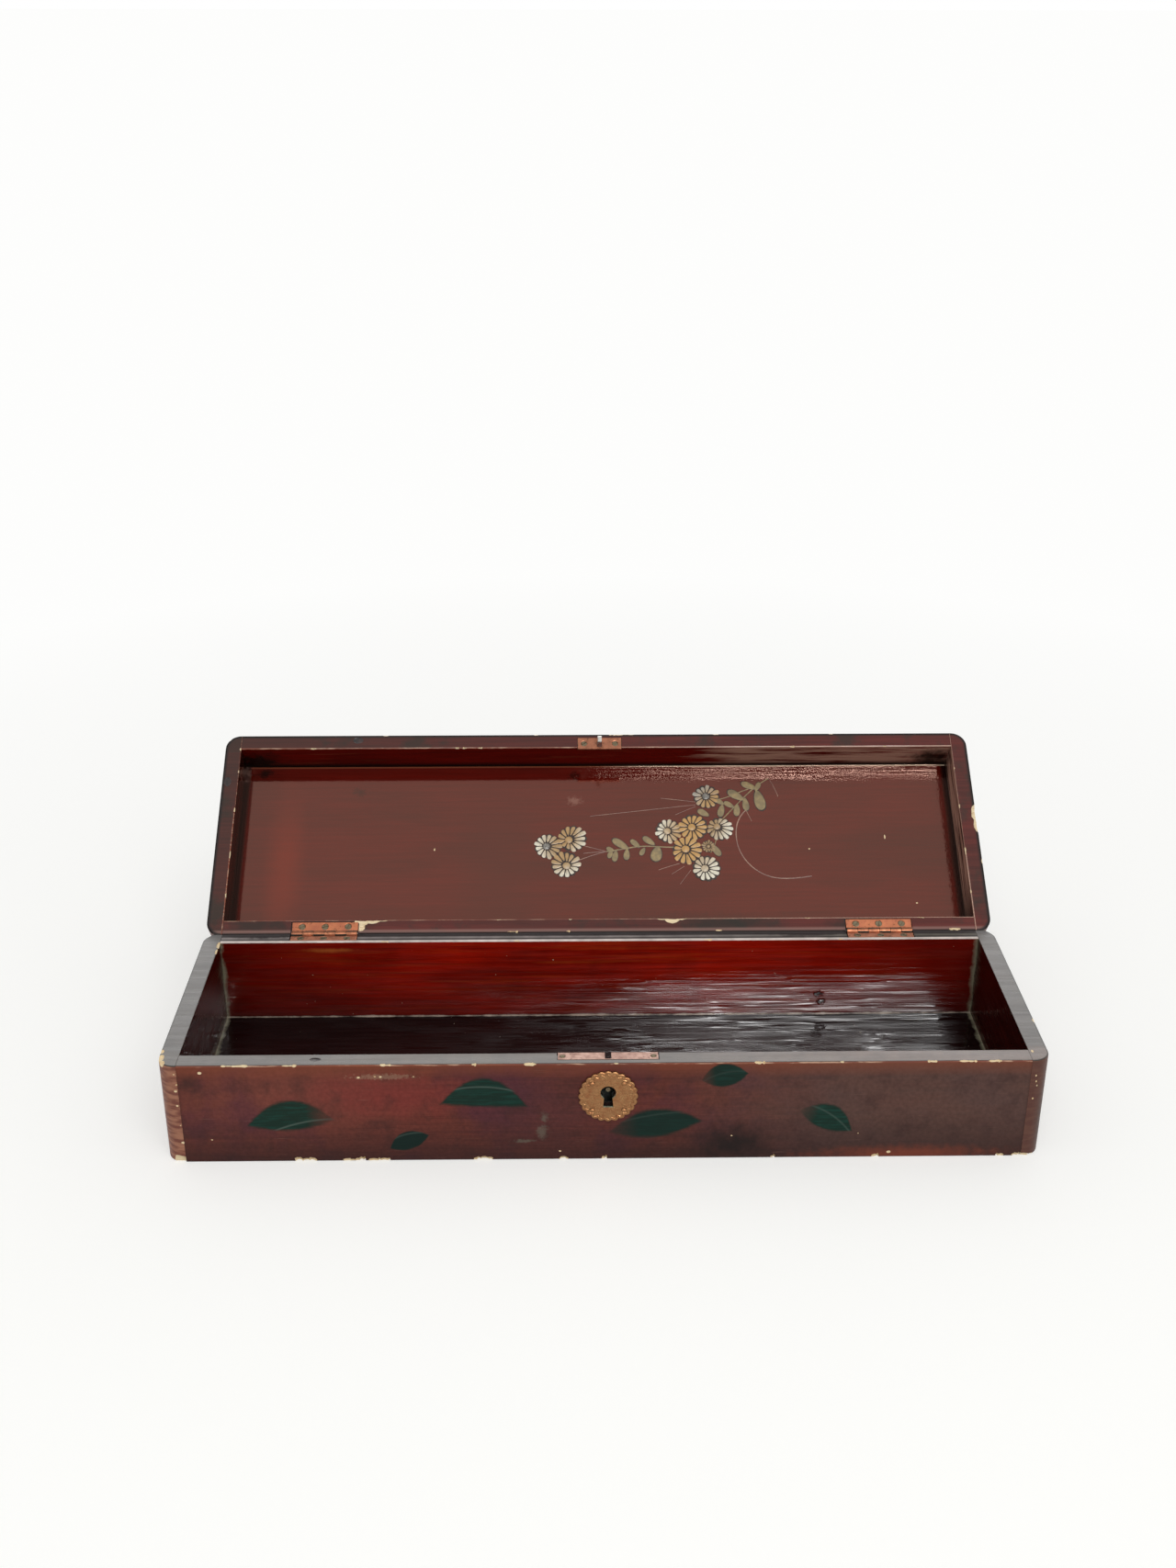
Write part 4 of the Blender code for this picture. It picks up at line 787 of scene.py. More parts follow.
def select(*pieces):
    """Goes to object mode with only these pieces selected, and the first one active."""
    if bpy.context.object and bpy.context.object.mode != "OBJECT":
        bpy.ops.object.mode_set(mode="OBJECT")
    bpy.ops.object.select_all(action="DESELECT")
    for piece in pieces:
        piece.select_set(True)
    if pieces:
        bpy.context.view_layer.objects.active = pieces[0]


def take(name, material=None, scale=(1, 1, 1)):
    """Names the new primitive, puts its size and place in its mesh and gives it a finish."""
    piece = bpy.context.object
    piece.scale *= Vector(scale)
    bpy.ops.object.transform_apply()
    piece.name = piece.data.name = name
    if material:
        piece.data.materials.append(bpy.data.materials[material])
    return piece


def block(name, low, high, material):
    """A block between two corners."""
    select()
    low, high = Vector(low), Vector(high)
    bpy.ops.mesh.primitive_cube_add(size=1, location=(low + high) / 2, scale=high - low)
    return take(name, material)


def drum(name, radius, depth, middle, turn, material, vertices=32):
    """A cylinder that stands up, or is laid along an axis by a turn."""
    select()
    bpy.ops.mesh.primitive_cylinder_add(
        vertices=vertices, radius=radius, depth=depth, location=middle, rotation=turn
    )
    return take(name, material)


def disc(name, radius, middle, material, vertices, turn=(0, 0, 0), scale=(1, 1, 1)):
    """A flat disc, squeezed by a scale."""
    select()
    bpy.ops.mesh.primitive_circle_add(
        vertices=vertices, radius=radius, fill_type="NGON", location=middle, rotation=turn
    )
    return take(name, material, scale)


def dome(name, radius, middle, flat, material):
    """A ball pressed flat to a share of its height."""
    select()
    bpy.ops.mesh.primitive_uv_sphere_add(
        segments=16, ring_count=8, radius=radius, location=middle, scale=(1, 1, flat)
    )
    return take(name, material)


def pick(piece, kind="FACE", test=lambda item: True):
    """Goes into edit mode with the edges or faces that a test accepts selected."""
    select(piece)
    bpy.ops.object.mode_set(mode="EDIT")
    bpy.ops.mesh.select_mode(type=kind)
    bpy.ops.mesh.select_all(action="DESELECT")
    shape = bmesh.from_edit_mesh(piece.data)
    for item in shape.edges if kind == "EDGE" else shape.faces:
        if test(item):
            item.select_set(True)
    shape.select_flush_mode()
    bmesh.update_edit_mesh(piece.data)


def leave():
    """Goes back to object mode."""
    bpy.ops.object.mode_set(mode="OBJECT")


def pull(*way):
    """Draws the picked faces out by a way."""
    bpy.ops.mesh.extrude_region_move(TRANSFORM_OT_translate={"value": way})


def close():
    """Turns all faces of the shape outwards and leaves edit mode."""
    bpy.ops.mesh.select_all(action="SELECT")
    bpy.ops.mesh.normals_make_consistent(inside=False)
    leave()


def shank(piece, drop):
    """Draws a head's underside down to a shank with a point."""
    pick(piece, test=lambda face: face.normal.z < -0.9)
    for down, share in ((0.5 * MM, 0.5), (drop, 1.0), (1.0 * MM, 0.15)):
        pull(0, 0, -down)
        bpy.ops.transform.resize(value=(share, share, 1))
    leave()


def round_off(piece, width, segments, test):
    """Bevels the edges that a test accepts."""
    pick(piece, "EDGE", test)
    bpy.ops.mesh.bevel(
        offset=width, segments=segments, affect="EDGES", offset_type="OFFSET", clamp_overlap=False
    )
    leave()


def near(value, line):
    """Whether a coordinate is on a line."""
    return abs(value - line) < 0.01 * MM


def lies(edge, **lines):
    """Whether both ends of an edge lie on every given line, such as y=0."""
    return all(near(getattr(end.co, axis), line) for end in edge.verts for axis, line in lines.items())


def carve(piece, *cutters):
    """Cuts shapes out of a piece. The cut faces keep the cutter's finish."""
    select(piece)
    for cutter in cutters:
        step = piece.modifiers.new("carve", "BOOLEAN")
        step.operation = "DIFFERENCE"
        step.solver = "EXACT"
        step.use_self = True
        step.material_mode = "TRANSFER"
        step.object = cutter
        bpy.ops.object.modifier_apply(modifier=step.name)
        bpy.data.meshes.remove(cutter.data)


def slice_off(piece, point, direction):
    """Cuts away all that lies past a plane."""
    pick(piece)
    bpy.ops.mesh.bisect(plane_co=point, plane_no=direction, use_fill=True, clear_outer=True)
    leave()


def lumps(rows, origin, inwards=1):
    """Chips as (middle, size), from rows of place and size in millimetres, counted from an origin."""
    made = []
    for x, y, z, *size in rows:
        middle = (origin[0] + inwards * x * MM, origin[1] + y * MM, origin[2] + z * MM)
        made.append((middle, tuple(side * MM for side in size)))
    return made


def edge_chips(seed, spans, y, z, reach):
    """Chips as (middle, size), strung along an edge that runs along X."""
    chance = random.Random(seed)
    made = []
    for start, end in spans:
        at = start
        while at < end:
            long = min(chance.uniform(0.7, 3.2), max(end - at, 0.7)) * MM
            bite = reach * chance.uniform(0.8, 2.6)
            made.append(((at * MM + long / 2, y, z), (long * 1.3, bite, bite * chance.uniform(0.6, 1.2))))
            at += long / MM * chance.uniform(0.6, 1.15)
    return made


def chip_away(piece, name, chips, material="bare wood"):
    """Cuts ragged lumps of (middle, size) out of a piece."""
    made = []
    for number, (middle, size) in enumerate(chips):
        select()
        bpy.ops.mesh.primitive_ico_sphere_add(subdivisions=2, radius=0.5, location=middle, scale=size)
        made.append(take(f"{name}_{number}", material))
        bpy.ops.object.mode_set(mode="EDIT")
        bpy.ops.mesh.select_all(action="SELECT")
        bpy.ops.transform.vertex_random(offset=0.16 * min(size), seed=number)
        leave()
    select(*made)
    bpy.ops.object.join()
    carve(piece, made[0])


def paint(piece, *rules):
    """Gives each face that still has the first finish the finish of the first rule that accepts it."""
    slots = piece.data.materials
    for name, _ in rules:
        if name not in slots:
            slots.append(bpy.data.materials[name])
    for face in piece.data.polygons:
        if face.material_index == 0:
            accepting = (name for name, test in rules if test(face.center, face.normal))
            face.material_index = slots.find(next(accepting, slots[0].name))


def settle(piece, body, slot, *nodes, tilt=False, angle=35):
    """Smooths a finished piece, tilts it with the lid and hands it to the frame."""
    select(piece)
    if tilt:
        piece.matrix_world = LID_TURN
        bpy.ops.object.transform_apply()
    bpy.ops.object.shade_smooth_by_angle(angle=math.radians(angle))
    weighted = piece.modifiers.new("even shading", "WEIGHTED_NORMAL")
    weighted.keep_sharp = True
    bpy.ops.object.modifier_apply(modifier=weighted.name)
    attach(piece, body)
    if nodes:
        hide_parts(*nodes)


def refinish(node, material):
    """Gives a CAD node that shows as it is another finish."""
    frame["nodes"][node].data.materials[0] = bpy.data.materials[material]


def copy_of(piece, name):
    """A copy with a mesh of its own."""
    copy = piece.copy()
    copy.data = piece.data.copy()
    copy.name = copy.data.name = name
    bpy.context.scene.collection.objects.link(copy)
    return copy


def soften(node, name, width, material):
    """A copy of a CAD node with its hard edges eased."""
    mesh = frame["nodes"][node].data.copy()
    mesh.name = name
    mesh.materials.clear()
    mesh.materials.append(bpy.data.materials[material])
    mesh.polygons.foreach_set("material_index", [0] * len(mesh.polygons))
    piece = bpy.data.objects.new(name, mesh)
    bpy.context.scene.collection.objects.link(piece)
    select(piece)
    bpy.ops.mesh.customdata_custom_splitnormals_clear()
    bpy.ops.object.mode_set(mode="EDIT")
    bpy.ops.mesh.select_all(action="SELECT")
    bpy.ops.mesh.remove_doubles(threshold=0.001 * MM)
    bpy.ops.mesh.dissolve_limited(angle_limit=math.radians(1))
    leave()
    ease = piece.modifiers.new("ease", "BEVEL")
    ease.width = width
    ease.segments = 2
    ease.limit_method = "ANGLE"
    ease.angle_limit = math.radians(40)
    bpy.ops.object.modifier_apply(modifier=ease.name)
    return piece


def rebate():
    """Cutter for the rebate that the bottom board sits in."""
    gap = Vector((HAIR, HAIR, HAIR))
    low = FLOOR_LOW - gap
    return block("rebate", (low.x, low.y, -1 * MM), FLOOR_HIGH + gap, "underside stain")


def hinge_recesses(prefix, side):
    """Cutters for both hinges' leaves and barrels: side -1 cuts the case, 1 the lid laid flat."""
    cutters = []
    for hand in HANDS:
        low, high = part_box(f"hinge_{hand}_box_leaf")
        left, right = low.x - 0.45 * MM, high.x + 0.3 * MM
        near_y, far_y = sorted((HINGE.y, HINGE.y + side * 5.0 * MM))
        leaf = (left, near_y, RIM - 0.95 * MM), (right, far_y, RIM + 2 * MM)
        # The recesses are finished near black, as painted shade in the gaps round the hinges
        cutters.append(block(f"{prefix}_{hand}_leaf_recess", *leaf, "dark dent lacquer"))
        barrel = (1.45 * MM, right - left, ((left + right) / 2, HINGE.y, HINGE.z), TO_X)
        cutters.append(drum(f"{prefix}_{hand}_barrel_recess", *barrel, "dark dent lacquer", 24))
    return cutters


def stop_plane(side):
    """The bevel that holds the lid open, as a point and a direction: side 1 on the case, -1 on the lid."""
    way = Vector((0, side * math.cos(TILT / 2), math.sin(TILT / 2)))
    return HINGE - way * STOP_GAP / 2, way


def cornered_board(name, low, high, material, hand, stop_side, worn):
    """A case's end board or a lid's side rail: round outer corners, the stop's bevel and a worn rim."""
    outer, inner = (low[0], high[0]) if hand == "left" else (high[0], low[0])
    board = block(name, low, high, material)
    round_off(
        board, CORNER_ROUND, 10, lambda edge: lies(edge, x=outer, y=low[1]) or lies(edge, x=outer, y=high[1])
    )
    slice_off(board, *stop_plane(stop_side))

    def open_rim(edge):
        clear = all(stop_side * (HINGE.y - end.co.y) > 0.5 * MM for end in edge.verts)
        return clear and lies(edge, z=RIM) and not lies(edge, x=inner)

    round_off(board, worn, 3, open_rim)
    return board


def front_wall(worn, reach):
    """Front board: mortised for the lock, bored for its key, chipped along its edges and dented."""
    low, high = (HAIR - INNER_X, FRONT_LOW.y, 0), (INNER_X - HAIR, FRONT_HIGH.y, RIM)
    front = block("front_board_lacquered", low, high, "front lacquer")
    round_off(front, worn, 3, lambda edge: lies(edge, y=low[1], z=RIM) or lies(edge, y=low[1], z=0))
    round_off(front, worn * 0.7, 2, lambda edge: lies(edge, y=high[1], z=RIM))
    pocket = LOCK_LOW.y - 0.1 * MM
    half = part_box("lock_cap")[1].x - LOCK_X + 1.2 * MM
    past = (FRONT_HIGH.y + 1 * MM, RIM + 1 * MM)
    mortise = (LOCK_X - half, pocket, LOCK_LOW.z - 0.2 * MM), (LOCK_X + half, *past)
    housing = (LOCK_LOW.x - 0.35 * MM, pocket - 0.25 * MM, RIM - 1.1 * MM), (LOCK_HIGH.x + 0.35 * MM, *past)
    bore = (3 * MM, 8 * MM, (LOCK_X, pocket - 3 * MM, KEY_Z), TO_Y)
    skirt_low = (LOCK_X - 1.9 * MM, pocket - 7 * MM, KEY_Z - 6.1 * MM)
    skirt_high = (LOCK_X + 1.9 * MM, pocket + 1 * MM, KEY_Z)
    carve(
        front,
        rebate(),
        block("lock_mortise", *mortise, "bare wood"),
        # Housing, bore and skirt are finished near black, as painted shade inside the keyhole
        block("lock_housing", *housing, "dark dent lacquer"),
        drum("keyhole_bore", *bore, "dark dent lacquer"),
        block("keyhole_skirt", skirt_low, skirt_high, "dark dent lacquer"),
    )
    chips = edge_chips(3, FRONT_TOP_CHIPS, low[1] + 0.1 * MM, RIM - 0.1 * MM, reach)
    chips += edge_chips(5, FRONT_FOOT_CHIPS, low[1] + 0.1 * MM, 0.55 * MM, reach * 2.1)
    chips += lumps(((x, 0, z, size, 0.5, size * 0.75) for x, z, size in FRONT_FLAKES), (0, low[1], 0))
    chip_away(front, "front_chips", chips)
    dent = lumps(((-98.9, -41.4, 0.05, 4.2, 2.2, 0.8),), (0, 0, RIM))
    chip_away(front, "front_dent", dent, "dark dent lacquer")
    paint(
        front,
        ("rim lacquer", lambda at, way: way.z > 0.9 and at.z > RIM - 0.2 * MM),
        ("rubbed edge lacquer", lambda at, way: way.y < -0.1 and way.z > 0.1 and at.z > RIM - 1 * MM),
        ("inside wall lacquer", lambda at, way: way.y > 0.5),
        ("rim lacquer", lambda at, way: way.z > 0.2),
        ("underside stain", lambda at, way: way.z < -0.9),
    )
    settle(front, "box", "lacquer", "front_board")


def back_wall(worn, reach):
    """Back board: bevelled for the lid's stop and let in for the hinges."""
    low, high = (HAIR - INNER_X, INNER_Y, 0), (INNER_X - HAIR, BACK_HIGH.y, RIM)
    back = block("back_board_lacquered", low, high, "outside lacquer")
    slice_off(back, *stop_plane(1))
    round_off(back, worn * 0.7, 2, lambda edge: lies(edge, y=INNER_Y, z=RIM))
    round_off(back, worn, 3, lambda edge: lies(edge, y=BACK_HIGH.y, z=0))
    carve(back, rebate(), *hinge_recesses("case", -1))
    chips = edge_chips(8, BACK_FOOT_CHIPS, BACK_HIGH.y - 0.1 * MM, 0.3 * MM, reach)
    chips += edge_chips(9, BACK_RIM_CHIPS, INNER_Y + 0.15 * MM, RIM - 0.1 * MM, reach * 0.7)
    chip_away(back, "back_chips", chips)
    paint(
        back,
        ("back rim lacquer", lambda at, way: way.z > 0.2),
        ("inside wall lacquer", lambda at, way: way.y < -0.5),
        ("underside stain", lambda at, way: way.z < -0.9),
    )
    settle(back, "box", "lacquer", "back_board")


def end_wall(hand, worn):
    """End board, which runs through from front to back."""
    side = HANDS[hand]
    low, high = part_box(f"{hand}_end_board")
    low, high = (low.x, FRONT_LOW.y, 0), (high.x, BACK_HIGH.y, RIM)
    board = cornered_board(f"{hand}_end_board_lacquered", low, high, "end board lacquer", hand, 1, worn)
    round_off(board, worn, 3, lambda edge: lies(edge, z=0) and not lies(edge, x=side * INNER_X))
    round_off(board, worn * 0.6, 2, lambda edge: lies(edge, x=side * INNER_X, z=RIM))
    carve(board, rebate())
    chip_away(board, f"{hand}_chips", lumps(END_CHIPS[hand], (side * OUTER_X, FRONT_LOW.y, 0), -side))
    paint(
        board,
        ("rim lacquer", lambda at, way: way.z > 0.35),
        ("inside end lacquer", lambda at, way: way.x * side < -0.5),
        ("underside stain", lambda at, way: way.z < -0.9),
    )
    settle(board, "box", "lacquer", f"{hand}_end_board")


def finish_rail(rail, node, wall, inwards, least=0.0):
    """Paints a lid rail, rubbed along the edge towards the panel, and places it."""
    inwards = Vector(inwards)
    paint(
        rail,
        ("lid rim lacquer", lambda at, way: way.z > 0.97),
        ("lid rubbed edge lacquer", lambda at, way: way.z > 0.1 and way.dot(inwards) > least),
        # Painted dark reflection on the rails' outer round edges
        ("lid dark edge lacquer", lambda at, way: way.z > 0.1),
        (wall, lambda at, way: way.dot(inwards) > 0.5),
    )
    settle(rail, "lid", "lacquer", node, tilt=True)


def lid_front_rail(worn, reach):
    """Front rail, which lies farthest from the hinge: let in for the strike."""
    low, high = (HAIR - LID_INNER_X, LID_FAR_WALL, LID_FOOT), (LID_INNER_X - HAIR, LID_FRONT, RIM)
    rail = block("lid_front_rail_lacquered", low, high, "lid outside lacquer")
    round_off(rail, worn, 3, lambda edge: lies(edge, y=LID_FRONT, z=RIM))
    round_off(rail, worn * 0.8, 2, lambda edge: lies(edge, y=LID_FAR_WALL, z=RIM))
    strike_low, strike_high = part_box("strike_plate")
    half = (strike_high.x - strike_low.x) / 2 + 0.15 * MM
    recess_low = (LOCK_X - half, LID_FAR_WALL - 1 * MM, RIM - 0.95 * MM)
    recess_high = (LOCK_X + half, LID_FAR_WALL + 4.8 * MM, RIM + 1 * MM)
    carve(rail, block("strike_recess", recess_low, recess_high, "dark dent lacquer"))
    chips = edge_chips(11, FAR_INNER_CHIPS, LID_FAR_WALL + 0.1 * MM, RIM - 0.1 * MM, reach * 0.7)
    chips += edge_chips(12, FAR_OUTER_CHIPS, LID_FRONT - 0.1 * MM, RIM - 0.1 * MM, reach * 0.8)
    chip_away(rail, "far_chips", chips)
    dent = lumps(((-98.3, 87.0, 0.05, 4.4, 3.0, 0.8),), (0, HINGE.y, RIM))
    chip_away(rail, "far_dent", dent, "dark dent lacquer")
    finish_rail(rail, "lid_front_rail", "lid wall lacquer", (0, -1, 0))


def lid_back_rail(worn, reach):
    """Back rail: bevelled for the stop, let in for the hinges and split beside them."""
    low, high = (HAIR - LID_INNER_X, LID_BACK, LID_FOOT), (LID_INNER_X - HAIR, LID_BACK + LID_WALL, RIM)
    rail = block("lid_back_rail_lacquered", low, high, "lid outside lacquer")
    slice_off(rail, *stop_plane(-1))
    round_off(rail, worn * 0.7, 2, lambda edge: lies(edge, y=high[1], z=RIM))
    carve(rail, *hinge_recesses("lid", 1))
    chips = lumps(NEAR_SPLITS, (0, HINGE.y, RIM))
    chips += edge_chips(14, NEAR_INNER_CHIPS, high[1] - 0.1 * MM, RIM - 0.1 * MM, reach * 0.7)
    chips += edge_chips(15, NEAR_OUTER_CHIPS, HINGE.y + 0.5 * MM, RIM - 0.1 * MM, reach * 0.7)
    chip_away(rail, "near_chips", chips)
    finish_rail(rail, "lid_back_rail", "lid wall lacquer", (0, 1, 0))


def lid_side_rail(hand, worn, reach):
    """Side rail, which runs through from back to front."""
    side = HANDS[hand]
    outer, inner = side * OUTER_X, side * LID_INNER_X
    low, high = (min(outer, inner), LID_BACK, LID_FOOT), (max(outer, inner), LID_FRONT, RIM)
    rail = cornered_board(f"lid_{hand}_rail_lacquered", low, high, "lid outside lacquer", hand, -1, worn)
    round_off(rail, worn * 0.7, 2, lambda edge: lies(edge, x=inner, z=RIM))
    chips = [
        ((inner + side * 0.1 * MM, HINGE.y + at, RIM - 0.1 * MM), (bite, long, deep))
        for (at, _, _), (long, bite, deep) in edge_chips(17 + side, SIDE_INNER_CHIPS, 0, 0, reach * 0.7)
    ]
    if hand == "right":
        chip_away(rail, "lid_right_chips", chips + lumps(LID_RIGHT_CHIPS, (outer, HINGE.y, RIM)))
    else:
        chip_away(rail, "lid_left_chips", chips + lumps(LID_LEFT_CHIPS, (outer, LID_FRONT, RIM)))
        dent = lumps(((-150.2, 67.8, 0.05, 3.0, 4.6, 0.8),), (0, HINGE.y, RIM))
        chip_away(rail, "side_dent", dent, "dark dent lacquer")
    finish_rail(rail, f"lid_{hand}_rail", "lid side wall lacquer", (-side, 0, 0), 0.1)


def lid_top(reach):
    """Top board, whose inner face is the panel."""
    low, high = (-OUTER_X, LID_BACK, LID_OUTSIDE), (OUTER_X, LID_FRONT, LID_PANEL)
    top = block("lid_top_board_lacquered", low, high, "lid outside lacquer")
    round_off(top, CORNER_ROUND, 10, lambda edge: not near(edge.verts[0].co.z, edge.verts[1].co.z))
    round_off(top, 2 * MM, 5, lambda edge: lies(edge, z=LID_OUTSIDE))
    chips = lumps(PANEL_FLAKES, (0, HINGE.y, LID_PANEL))
    for side, y in ((-1, LID_FRONT - 2.2 * MM), (1, LID_BACK + 2.2 * MM)):
        chips += lumps(((2.2, 0, 1, 2.4, 2.4, 1.6),), (side * OUTER_X, y, LID_OUTSIDE), -side)
    chips += edge_chips(21, TOP_FRONT_CHIPS, LID_FRONT - 0.5 * MM, LID_OUTSIDE + 0.5 * MM, reach)
    chips += edge_chips(22, TOP_BACK_CHIPS, LID_BACK + 0.5 * MM, LID_OUTSIDE + 0.5 * MM, reach)
    chip_away(top, "panel_flakes", chips)
    paint(
        top,
        ("lid panel lacquer", lambda at, way: way.z > 0.9),
        ("rubbed edge lacquer", lambda at, way: -0.8 < way.z < -0.6),
    )
    settle(top, "lid", "lacquer", "lid_top_board", tilt=True)


def flower_petals(number, middle, size, lean, lift, settings):
    """A tapered oval in low relief, spun round the heart, with petals of uneven length."""
    start = middle + Vector((0.67 * size, 0, 0))
    flower = disc(f"spray_flower_{number + 1}", size, start, "petal paint", 16, scale=(0.33, 0.2, 1))
    for point in flower.data.vertices:
        along = (point.co.x - middle.x) / size
        across = (point.co.y - middle.y) / (0.2 * size)
        half_width = (0.055 + 0.138 * (along - 0.34) / 0.66) * size
        point.co.y = middle.y + math.copysign(abs(across) ** 0.6, across) * half_width
    pick(flower)
    pull(0, 0, lift + settings.relief * 0.6)
    bpy.ops.mesh.inset(thickness=0.025 * size, depth=settings.relief * 0.3)
    bpy.ops.mesh.inset(thickness=0.03 * size, depth=settings.relief * 0.1)
    bpy.ops.mesh.select_all(action="SELECT")
    step = 2 * math.pi / settings.petals
    copies = settings.petals - 1
    bpy.ops.mesh.spin(steps=copies, dupli=True, angle=step * copies, center=middle, axis=(0, 0, 1))
    bpy.ops.mesh.select_all(action="SELECT")
    bpy.ops.transform.vertex_random(offset=0.012 * size, seed=number)
    close()
    chance = random.Random(number)
    lengths = [chance.uniform(0.86, 1.08) for _ in range(settings.petals)]
    for point in flower.data.vertices:
        from_heart = point.co.xy - middle.xy
        petal = round(math.atan2(from_heart.y, from_heart.x) / step) % settings.petals
        point.co.xy = middle.xy + from_heart * lengths[petal]
        point.co += lean * (1 - from_heart.length / size)
    return flower


def flower_ground(middle, size, lift, petals):
    """The dark ground that shows between the petals as their outlines."""
    ground = disc("flower_ground", size * 1.02, middle, "outline lacquer", petals * 4)
    for point in ground.data.vertices:
        turn = math.atan2(point.co.y - middle.y, point.co.x - middle.x)
        share = 1 - 0.09 * (1 - abs(math.cos(petals * turn / 2)))
        point.co.xy = middle.xy + (point.co.xy - middle.xy) * share
    pick(ground)
    pull(0, 0, lift + 0.04 * MM)
    close()
    return ground


def tone_flower(part, middle, size, way, white, gold, silver, strength):
    """Writes to each point how white, gold and grey its paint is."""
    tones = {"white": [], "gold": [], "grey": []}
    for point in part.data.vertices:
        from_heart = point.co - middle
        value = white + 0.75 * from_heart.dot(way) / size - 0.3 * (1 - from_heart.length / size)
        value = min(max(value, 0.0), 1.0) * strength
        tones["white"].append(value * 0.25 if silver else value)
        tones["gold"].append(gold)
        tones["grey"].append(value if silver else 0.0)
    for name, values in tones.items():
        part.data.attributes.new(name, "FLOAT", "POINT").data.foreach_set("value", values)


class LACQUER_BOX_OT_case_walls(bpy.types.Operator):
    """Model the four walls of the case, with worn edges and chips"""

    bl_idname = "lacquer_box.case_walls"
    bl_label = "Case Walls"

    def execute(self, context):
        lacquers()
        settings = context.scene.box_lacquer
        front_wall(settings.edge_round, settings.chip_reach)
        back_wall(settings.edge_round, settings.chip_reach)
        for hand in HANDS:
            end_wall(hand, settings.edge_round)
        return {"FINISHED"}


class LACQUER_BOX_OT_case_floor(bpy.types.Operator):
    """Model the bottom board, dark inside and dull underneath"""

    bl_idname = "lacquer_box.case_floor"
    bl_label = "Case Floor"

    def execute(self, context):
        lacquers()
        floor = block("bottom_board_lacquered", FLOOR_LOW, FLOOR_HIGH, "inside floor lacquer")
        round_off(floor, 0.35 * MM, 2, lambda edge: lies(edge, z=0))
        paint(floor, ("underside stain", lambda at, way: way.z < 0.5))
        settle(floor, "box", "dark_lacquer", "bottom_board")
        return {"FINISHED"}


class LACQUER_BOX_OT_lid_boards(bpy.types.Operator):
    """Model the lid's rails and top board, laid flat and tilted open"""

    bl_idname = "lacquer_box.lid_boards"
    bl_label = "Lid Boards"

    def execute(self, context):
        lacquers()
        settings = context.scene.box_lacquer
        lid_front_rail(settings.edge_round, settings.chip_reach)
        lid_back_rail(settings.edge_round, settings.chip_reach)
        for hand in HANDS:
            lid_side_rail(hand, settings.edge_round, settings.chip_reach)
        lid_top(settings.chip_reach)
        return {"FINISHED"}


class LACQUER_BOX_OT_hinges(bpy.types.Operator):
    """Model the hinges' leaves, with eased edges, and their slotted screws"""

    bl_idname = "lacquer_box.hinges"
    bl_label = "Hinges and Screws"

    def execute(self, context):
        metals()
        worn = context.scene.box_fittings.edge_round
        # Each leaf's owner and finish, and which way the gap beside its knuckles faces, where shade is
        # painted in near black
        leaves = (
            ("box", "rubbed copper", Vector((0, 0.3, 0.95))),
            ("lid", "worn copper", Vector((0, -0.98, -0.2))),
        )

        def rolled(at):
            return (at.yz - HINGE.yz).length < 1.3 * MM

        for hand in HANDS:
            for owner, sheet, gap in leaves:
                node = f"hinge_{hand}_{owner}_leaf"
                leaf = soften(node, f"{node}_worn", worn, sheet)
                paint(
                    leaf,
                    # Painted shade in the gap beside the knuckles
                    ("sooty iron", lambda at, way: rolled(at) and way.dot(gap) > 0.82),
                    ("grimy copper", lambda at, way: rolled(at)),
                )
                settle(leaf, owner, "copper", node)
            refinish(f"hinge_{hand}_pin", "dull iron")

        screw = drum("slotted_screw", 1.3 * MM, 0.2 * MM, (0, 0, -0.1 * MM), (0, 0, 0), "dull iron", 20)
        shank(screw, 3.2 * MM)
        round_off(screw, 0.09 * MM, 2, lambda edge: lies(edge, z=0))
        slot = (-2 * MM, -0.19 * MM, -0.3 * MM), (2 * MM, 0.19 * MM, 1 * MM)
        carve(screw, block("screw_slot", *slot, "dull iron"))

        chance = random.Random(4)
        plates = [f"hinge_{hand}_{owner}" for hand in HANDS for owner in ("box", "lid")]
        names = [f"{plate}_screw_{number}" for plate in plates for number in (1, 2, 3)]
        for name in (*names, "strike_screw_1", "strike_screw_2"):
            body = "lid" if "lid" in name or "strike" in name else "box"
            low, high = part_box(name)
            middle = (low + high) / 2
            if body == "lid":
                middle = LID_TURN.inverted() @ middle
            head = Matrix.Translation((middle.x, middle.y, RIM))
            spin = Matrix.Rotation(chance.uniform(0, math.pi), 4, "Z")
            copy = copy_of(screw, f"{name}_slotted")
            copy.matrix_world = head @ spin @ Matrix.Scale(0.92 if "strike" in name else 1.0, 4)
            select(copy)
            bpy.ops.object.transform_apply()
            settle(copy, body, "iron", name, tilt=body == "lid")
        bpy.data.objects.remove(screw)
        return {"FINISHED"}


